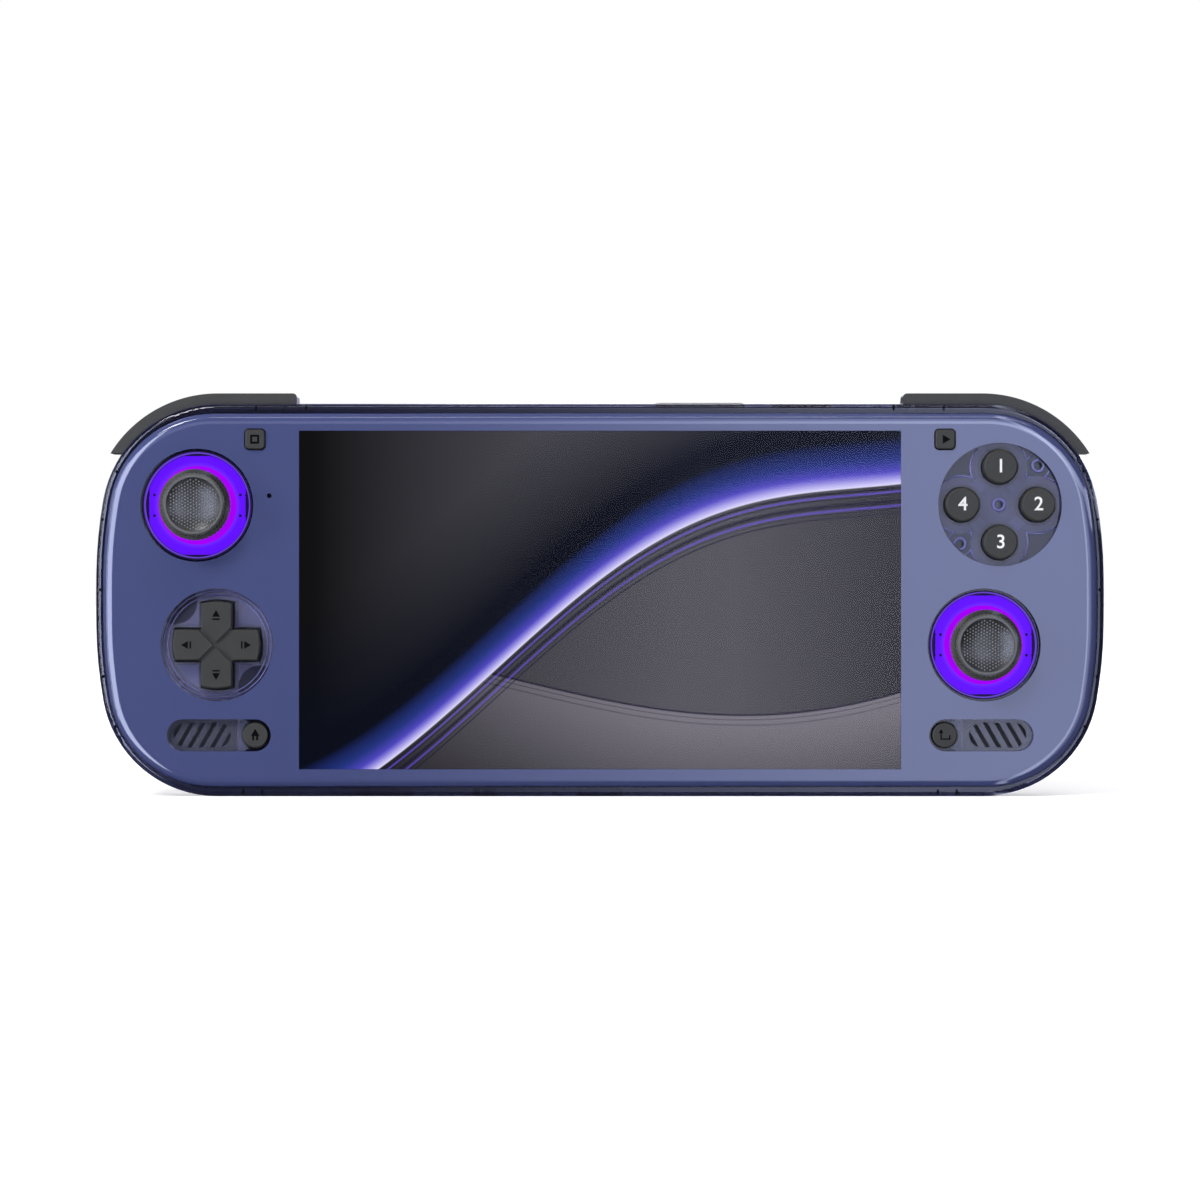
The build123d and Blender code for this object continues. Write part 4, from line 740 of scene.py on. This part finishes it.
ridges = []
for spot in buttonSpots:
    others = [other for other in buttonSpots if other is not spot]
    ridges.append(faceRidge((spot.x, plateFront, spot.z), faceRidges["guide"], faceRidges["thick"],
                            lambda point: onFace(point, faceRidges["inner"], others, bossSpots)))
for boss in bossSpots:
    ridges.append(faceRidge(boss, faceRidges["detour"], faceRidges["thick"],
                            lambda point: onFace(point, faceRidges["detourFrom"], buttonSpots, [])))
for boss in bossSpots + [faceMiddle]:
    ridges.append(faceRidge(boss, faceRidges["boss"], faceRidges["bossThick"], inWindow, 48))
settle(joinPieces(ridges), "face_window_ridges", "housing", "clear_shell", ridgePlastic, 60)

padRidges = {"radii": (10.9 * mm, 10.1 * mm), "thick": 0.12 * mm}
padCentre = Vector((padMiddle.x, plateFront, padMiddle.z))
ridges = [faceRidge(padCentre, radius, padRidges["thick"]) for radius in padRidges["radii"]]
settle(joinPieces(ridges), "pad_window_ridges", "housing", "clear_shell", ridgePlastic, 60)
print("ridges under the windows")

# Knurled thumb sticks: sloped teeth, a smooth ring, a dotted hollow and a black skirt
cap = {"steps": 96, "baseRadius": 7.2 * mm, "underside": 0.9, "hollowRadius": 5.45 * mm, "height": 3.2 * mm,
       "dotPitch": 0.66 * mm, "dotRadius": 0.25 * mm, "dotTop": 0.45, "dotHeight": 0.17 * mm,
       "dotMargin": 0.45 * mm, "skirtRadius": 8.8 * mm, "skirtAngle": 76, "skirtWall": 0.8 * mm,
       "discRadius": 3.4 * mm, "pivot": -1.0 * mm}
# Each step forwards: how far, the radius there, the twist and how deep the valleys between teeth are
capSteps = ((0.4, 7.2, 0, 0.5), (0.4, 7.2, 3, 0.65), (0.6, 7.05, 5, 0.85), (0.6, 6.8, 5, 0.8),
            (0.5, 6.5, 4, 0.5), (0.3, 6.3, 0, 0), (0.2, 6.16, 0, 0), (0.2, 5.9, 0, 0))
# Rings of the dished front, as a radius and a depth
dish = ((5.35, 0.2), (4.6, 0.55), (3.6, 0.86), (2.4, 1.08), (1.0, 1.2))


# The angle of a vertex round the cap's axis
def spin(corner):
    return atan2(corner.z, corner.x)


# The depth of the dished front at a radius
def dishDepth(radius):
    for (outer, high), (inner, low) in zip(dish, dish[1:]):
        if radius >= inner * mm:
            return mm * (high + (low - high) * (outer * mm - radius) / (outer * mm - inner * mm))
    return dish[-1][1] * mm


# The cap, its dots and the skirt, modelled at the left stick
def thumbStick():
    centre = middleOf("left_ring_light")
    front = frontOf("left_stick")
    back = front + cap["height"]
    place = Vector((centre.x, back, centre.z))
    bpy.ops.object.select_all(action="DESELECT")
    bpy.ops.mesh.primitive_circle_add(vertices=cap["steps"], radius=cap["baseRadius"], fill_type="NGON",
                                      location=place, rotation=frontFacing)
    piece = bpy.context.object
    bpy.ops.object.transform_apply(location=False, rotation=True, scale=False)

    startEdit()
    bpy.ops.transform.resize(value=(cap["underside"], 1, cap["underside"]), center_override=place)
    reached = cap["baseRadius"] * cap["underside"]
    for advance, radius, turn, _ in capSteps:
        bpy.ops.mesh.extrude_region_move(TRANSFORM_OT_translate={"value": (0, -advance * mm, 0)})
        scale = radius * mm / reached
        bpy.ops.transform.resize(value=(scale, 1, scale), center_override=place)
        bpy.ops.transform.rotate(value=radians(turn), orient_axis="Y", center_override=place)
        reached = radius * mm
    endEdit()
    # every second line of vertices along the belt is pushed in, which makes the teeth
    rings = {}
    for vertex in piece.data.vertices:
        rings.setdefault(round(vertex.co.y, 6), []).append(vertex.index)
    depths = sorted(rings, reverse=True)
    levelOf = {index: depths.index(depth) for depth in depths for index in rings[depth]}
    firstRing = sorted(rings[depths[0]], key=lambda index: spin(piece.data.vertices[index].co))
    odd = {index: order % 2 for order, index in enumerate(firstRing)}
    lengthwise = sorted(sorted(edge.vertices, key=levelOf.get) for edge in piece.data.edges
                        if levelOf[edge.vertices[0]] != levelOf[edge.vertices[1]])
    for low, high in sorted(lengthwise, key=lambda pair: levelOf[pair[0]]):
        odd[high] = odd[low]
    for index, isOdd in odd.items():
        level = levelOf[index]
        if isOdd and level:
            vertex = piece.data.vertices[index]
            share = 1 - capSteps[level - 1][3] * mm / hypot(vertex.co.x, vertex.co.z)
            vertex.co.x *= share
            vertex.co.z *= share
    # the front face is inset ring by ring and dished
    for polygon in piece.data.polygons:
        polygon.select = all(levelOf[index] == len(depths) - 1 for index in polygon.vertices)
    bpy.ops.object.mode_set(mode="EDIT")
    bpy.ops.mesh.select_mode(type="FACE")
    bpy.ops.mesh.inset(thickness=reached - cap["hollowRadius"])
    reached, sunk = cap["hollowRadius"], 0
    for radius, depth in dish:
        bpy.ops.mesh.inset(thickness=reached - radius * mm, depth=sunk - depth * mm)
        reached, sunk = radius * mm, depth * mm
    bpy.ops.mesh.select_all(action="SELECT")
    bpy.ops.mesh.normals_make_consistent(inside=False)
    endEdit()

    # raised dots over the hollow
    bpy.ops.object.select_all(action="DESELECT")
    bpy.ops.mesh.primitive_cone_add(vertices=6, radius1=cap["dotRadius"],
                                    radius2=cap["dotRadius"] * cap["dotTop"], depth=cap["dotHeight"] * 2,
                                    location=(0, 0, 0), rotation=frontFacing)
    dot = bpy.context.object
    bpy.ops.object.transform_apply(location=False, rotation=True, scale=False)
    dots = [dot]
    reach = int(cap["hollowRadius"] / cap["dotPitch"]) + 1
    rowStep = cap["dotPitch"] * sqrt(3) / 2
    for row in range(-reach - 1, reach + 2):
        for column in range(-reach - 1, reach + 2):
            x = row * rowStep
            z = (column + (row % 2) / 2) * cap["dotPitch"]
            radius = hypot(x, z)
            if radius > cap["hollowRadius"] - cap["dotMargin"]:
                continue
            copy = dot.copy()
            copy.data = dot.data.copy()
            copy.location = (centre.x + x, front + dishDepth(radius), centre.z + z)
            bpy.context.scene.collection.objects.link(copy)
            dots.append(copy)
    bpy.data.objects.remove(dots.pop(0))
    dotField = joinPieces(dots)

    # the skirt: a ball cut to its front part, hollow behind, and a flat disc between it and the cap
    bpy.ops.object.select_all(action="DESELECT")
    bpy.ops.mesh.primitive_uv_sphere_add(segments=64, ring_count=48, radius=cap["skirtRadius"],
                                         location=(centre.x, cap["pivot"], centre.z), rotation=frontFacing)
    skirt = bpy.context.object
    bpy.ops.object.transform_apply(location=False, rotation=True, scale=False)
    edge = cap["pivot"] - cap["skirtRadius"] * cos(radians(cap["skirtAngle"]))
    bpy.context.view_layer.update()
    pickVertices(skirt, lambda point: point.y > edge)
    bpy.ops.mesh.delete(type="VERT")
    endEdit()
    wallModifier = skirt.modifiers.new("wall", "SOLIDIFY")
    wallModifier.thickness = cap["skirtWall"]
    wallModifier.offset = -1
    bpy.context.view_layer.objects.active = skirt
    bpy.ops.object.modifier_apply(modifier="wall")
    bpy.ops.object.select_all(action="DESELECT")
    insideSkirt = cap["pivot"] - cap["skirtRadius"] + cap["skirtWall"]
    bpy.ops.mesh.primitive_cylinder_add(vertices=48, radius=cap["discRadius"], depth=0,
                                        location=(centre.x, (back + insideSkirt) / 2, centre.z),
                                        rotation=frontFacing)
    disc = bpy.context.object
    bpy.ops.object.transform_apply(location=False, rotation=True, scale=True)
    return {"cap": piece, "dots": dotField, "skirt": joinPieces([skirt, disc])}


stickModels = thumbStick()
for name in ("left", "right"):
    sideways = middleOf(name + "_ring_light") - middleOf("left_ring_light")
    sideways.y = frontOf(name + "_stick") - frontOf("left_stick")
    stickFinish = {"cap": (stickRubber, 22), "dots": (dotRubber, 10), "skirt": (skirtGlowPlastics[name], 40)}
    for part, model in stickModels.items():
        piece = model.copy()
        piece.data = model.data.copy()
        piece.location = model.location + sideways
        bpy.context.scene.collection.objects.link(piece)
        settle(piece, f"{name}_stick_{part}", name + "_stick", "stick_rubber", *stickFinish[part])
        if part == "cap":
            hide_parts(name + "_stick")
for model in stickModels.values():
    bpy.data.objects.remove(model)
print("thumb sticks")

# Six-sided recesses in the heads of the screws on the back, drawn as flat dark plates: painted shade, not holes
screwRecess = {"radius": 0.8 * mm, "thick": 0.04 * mm, "apart": 5 * mm}
# One dark finish for the painted shade in the screw recesses and for the rim marks
shadeAndClipDark, tree, shader = startMaterial("shadeAndClipDark", (10, 10, 11), 0.6, {"Specular IOR Level": 0.02})
addGrain(tree, shader, 1500.0, 0.2, ((8, 8, 9), (13, 13, 14)))
screwSpots = []
for vertex in nodes["case_screws"].data.vertices:
    point = nodes["case_screws"].matrix_world @ vertex.co
    group = next((found for found in screwSpots if flatGap(found[0], point) < screwRecess["apart"]), None)
    if group is None:
        screwSpots.append([point, point.copy(), point.copy()])
    else:
        group[1] = Vector(map(min, group[1], point))
        group[2] = Vector(map(max, group[2], point))
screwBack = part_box("case_screws")[1].y - screwRecess["thick"] / 2
recesses = [facePlate(((low.x + high.x) / 2, screwBack, (low.z + high.z) / 2), screwRecess["radius"], 6,
                      -screwRecess["thick"]) for _, low, high in screwSpots]
settle(joinPieces(recesses), "screw_recess_shades", "housing", "steel", shadeAndClipDark)

# Small dark marks and dots on the rim, which stand for the clips seen through the housing
rimMarks = {"front": 0.02 * mm, "thick": 0.05 * mm, "inset": 0.95 * mm, "size": (0.4 * mm, 0.95 * mm),
            "dot": 0.3 * mm, "topAt": (59.5, 69.6), "bottomAt": (68.4, 72.2),
            "sideAt": ((100.75, 56.1), (101.2, 41.9), (100.6, 24.3), (97.9, 65.8), (98.2, 14.2))}
rimFront = frontOf("front_shell")
marks = []
rimTop = 2 * bodyMiddle.z - rimMarks["inset"]
rimPlace = rimFront + rimMarks["front"]
for way in (-1, 1):
    bars = [(x, rimTop) for x in rimMarks["topAt"]] + [(x, rimMarks["inset"]) for x in rimMarks["bottomAt"]]
    for x, z in bars:
        marks.append(faceBar((way * x * mm, rimPlace, z), *rimMarks["size"], rimMarks["thick"]))
    for x, z in rimMarks["sideAt"]:
        marks.append(facePlate((way * x * mm, rimPlace, z * mm), rimMarks["dot"], 12, rimMarks["thick"]))
settle(joinPieces(marks), "rim_marks", "housing", "clear_shell", shadeAndClipDark)
print("screw recesses and rim marks")

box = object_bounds()
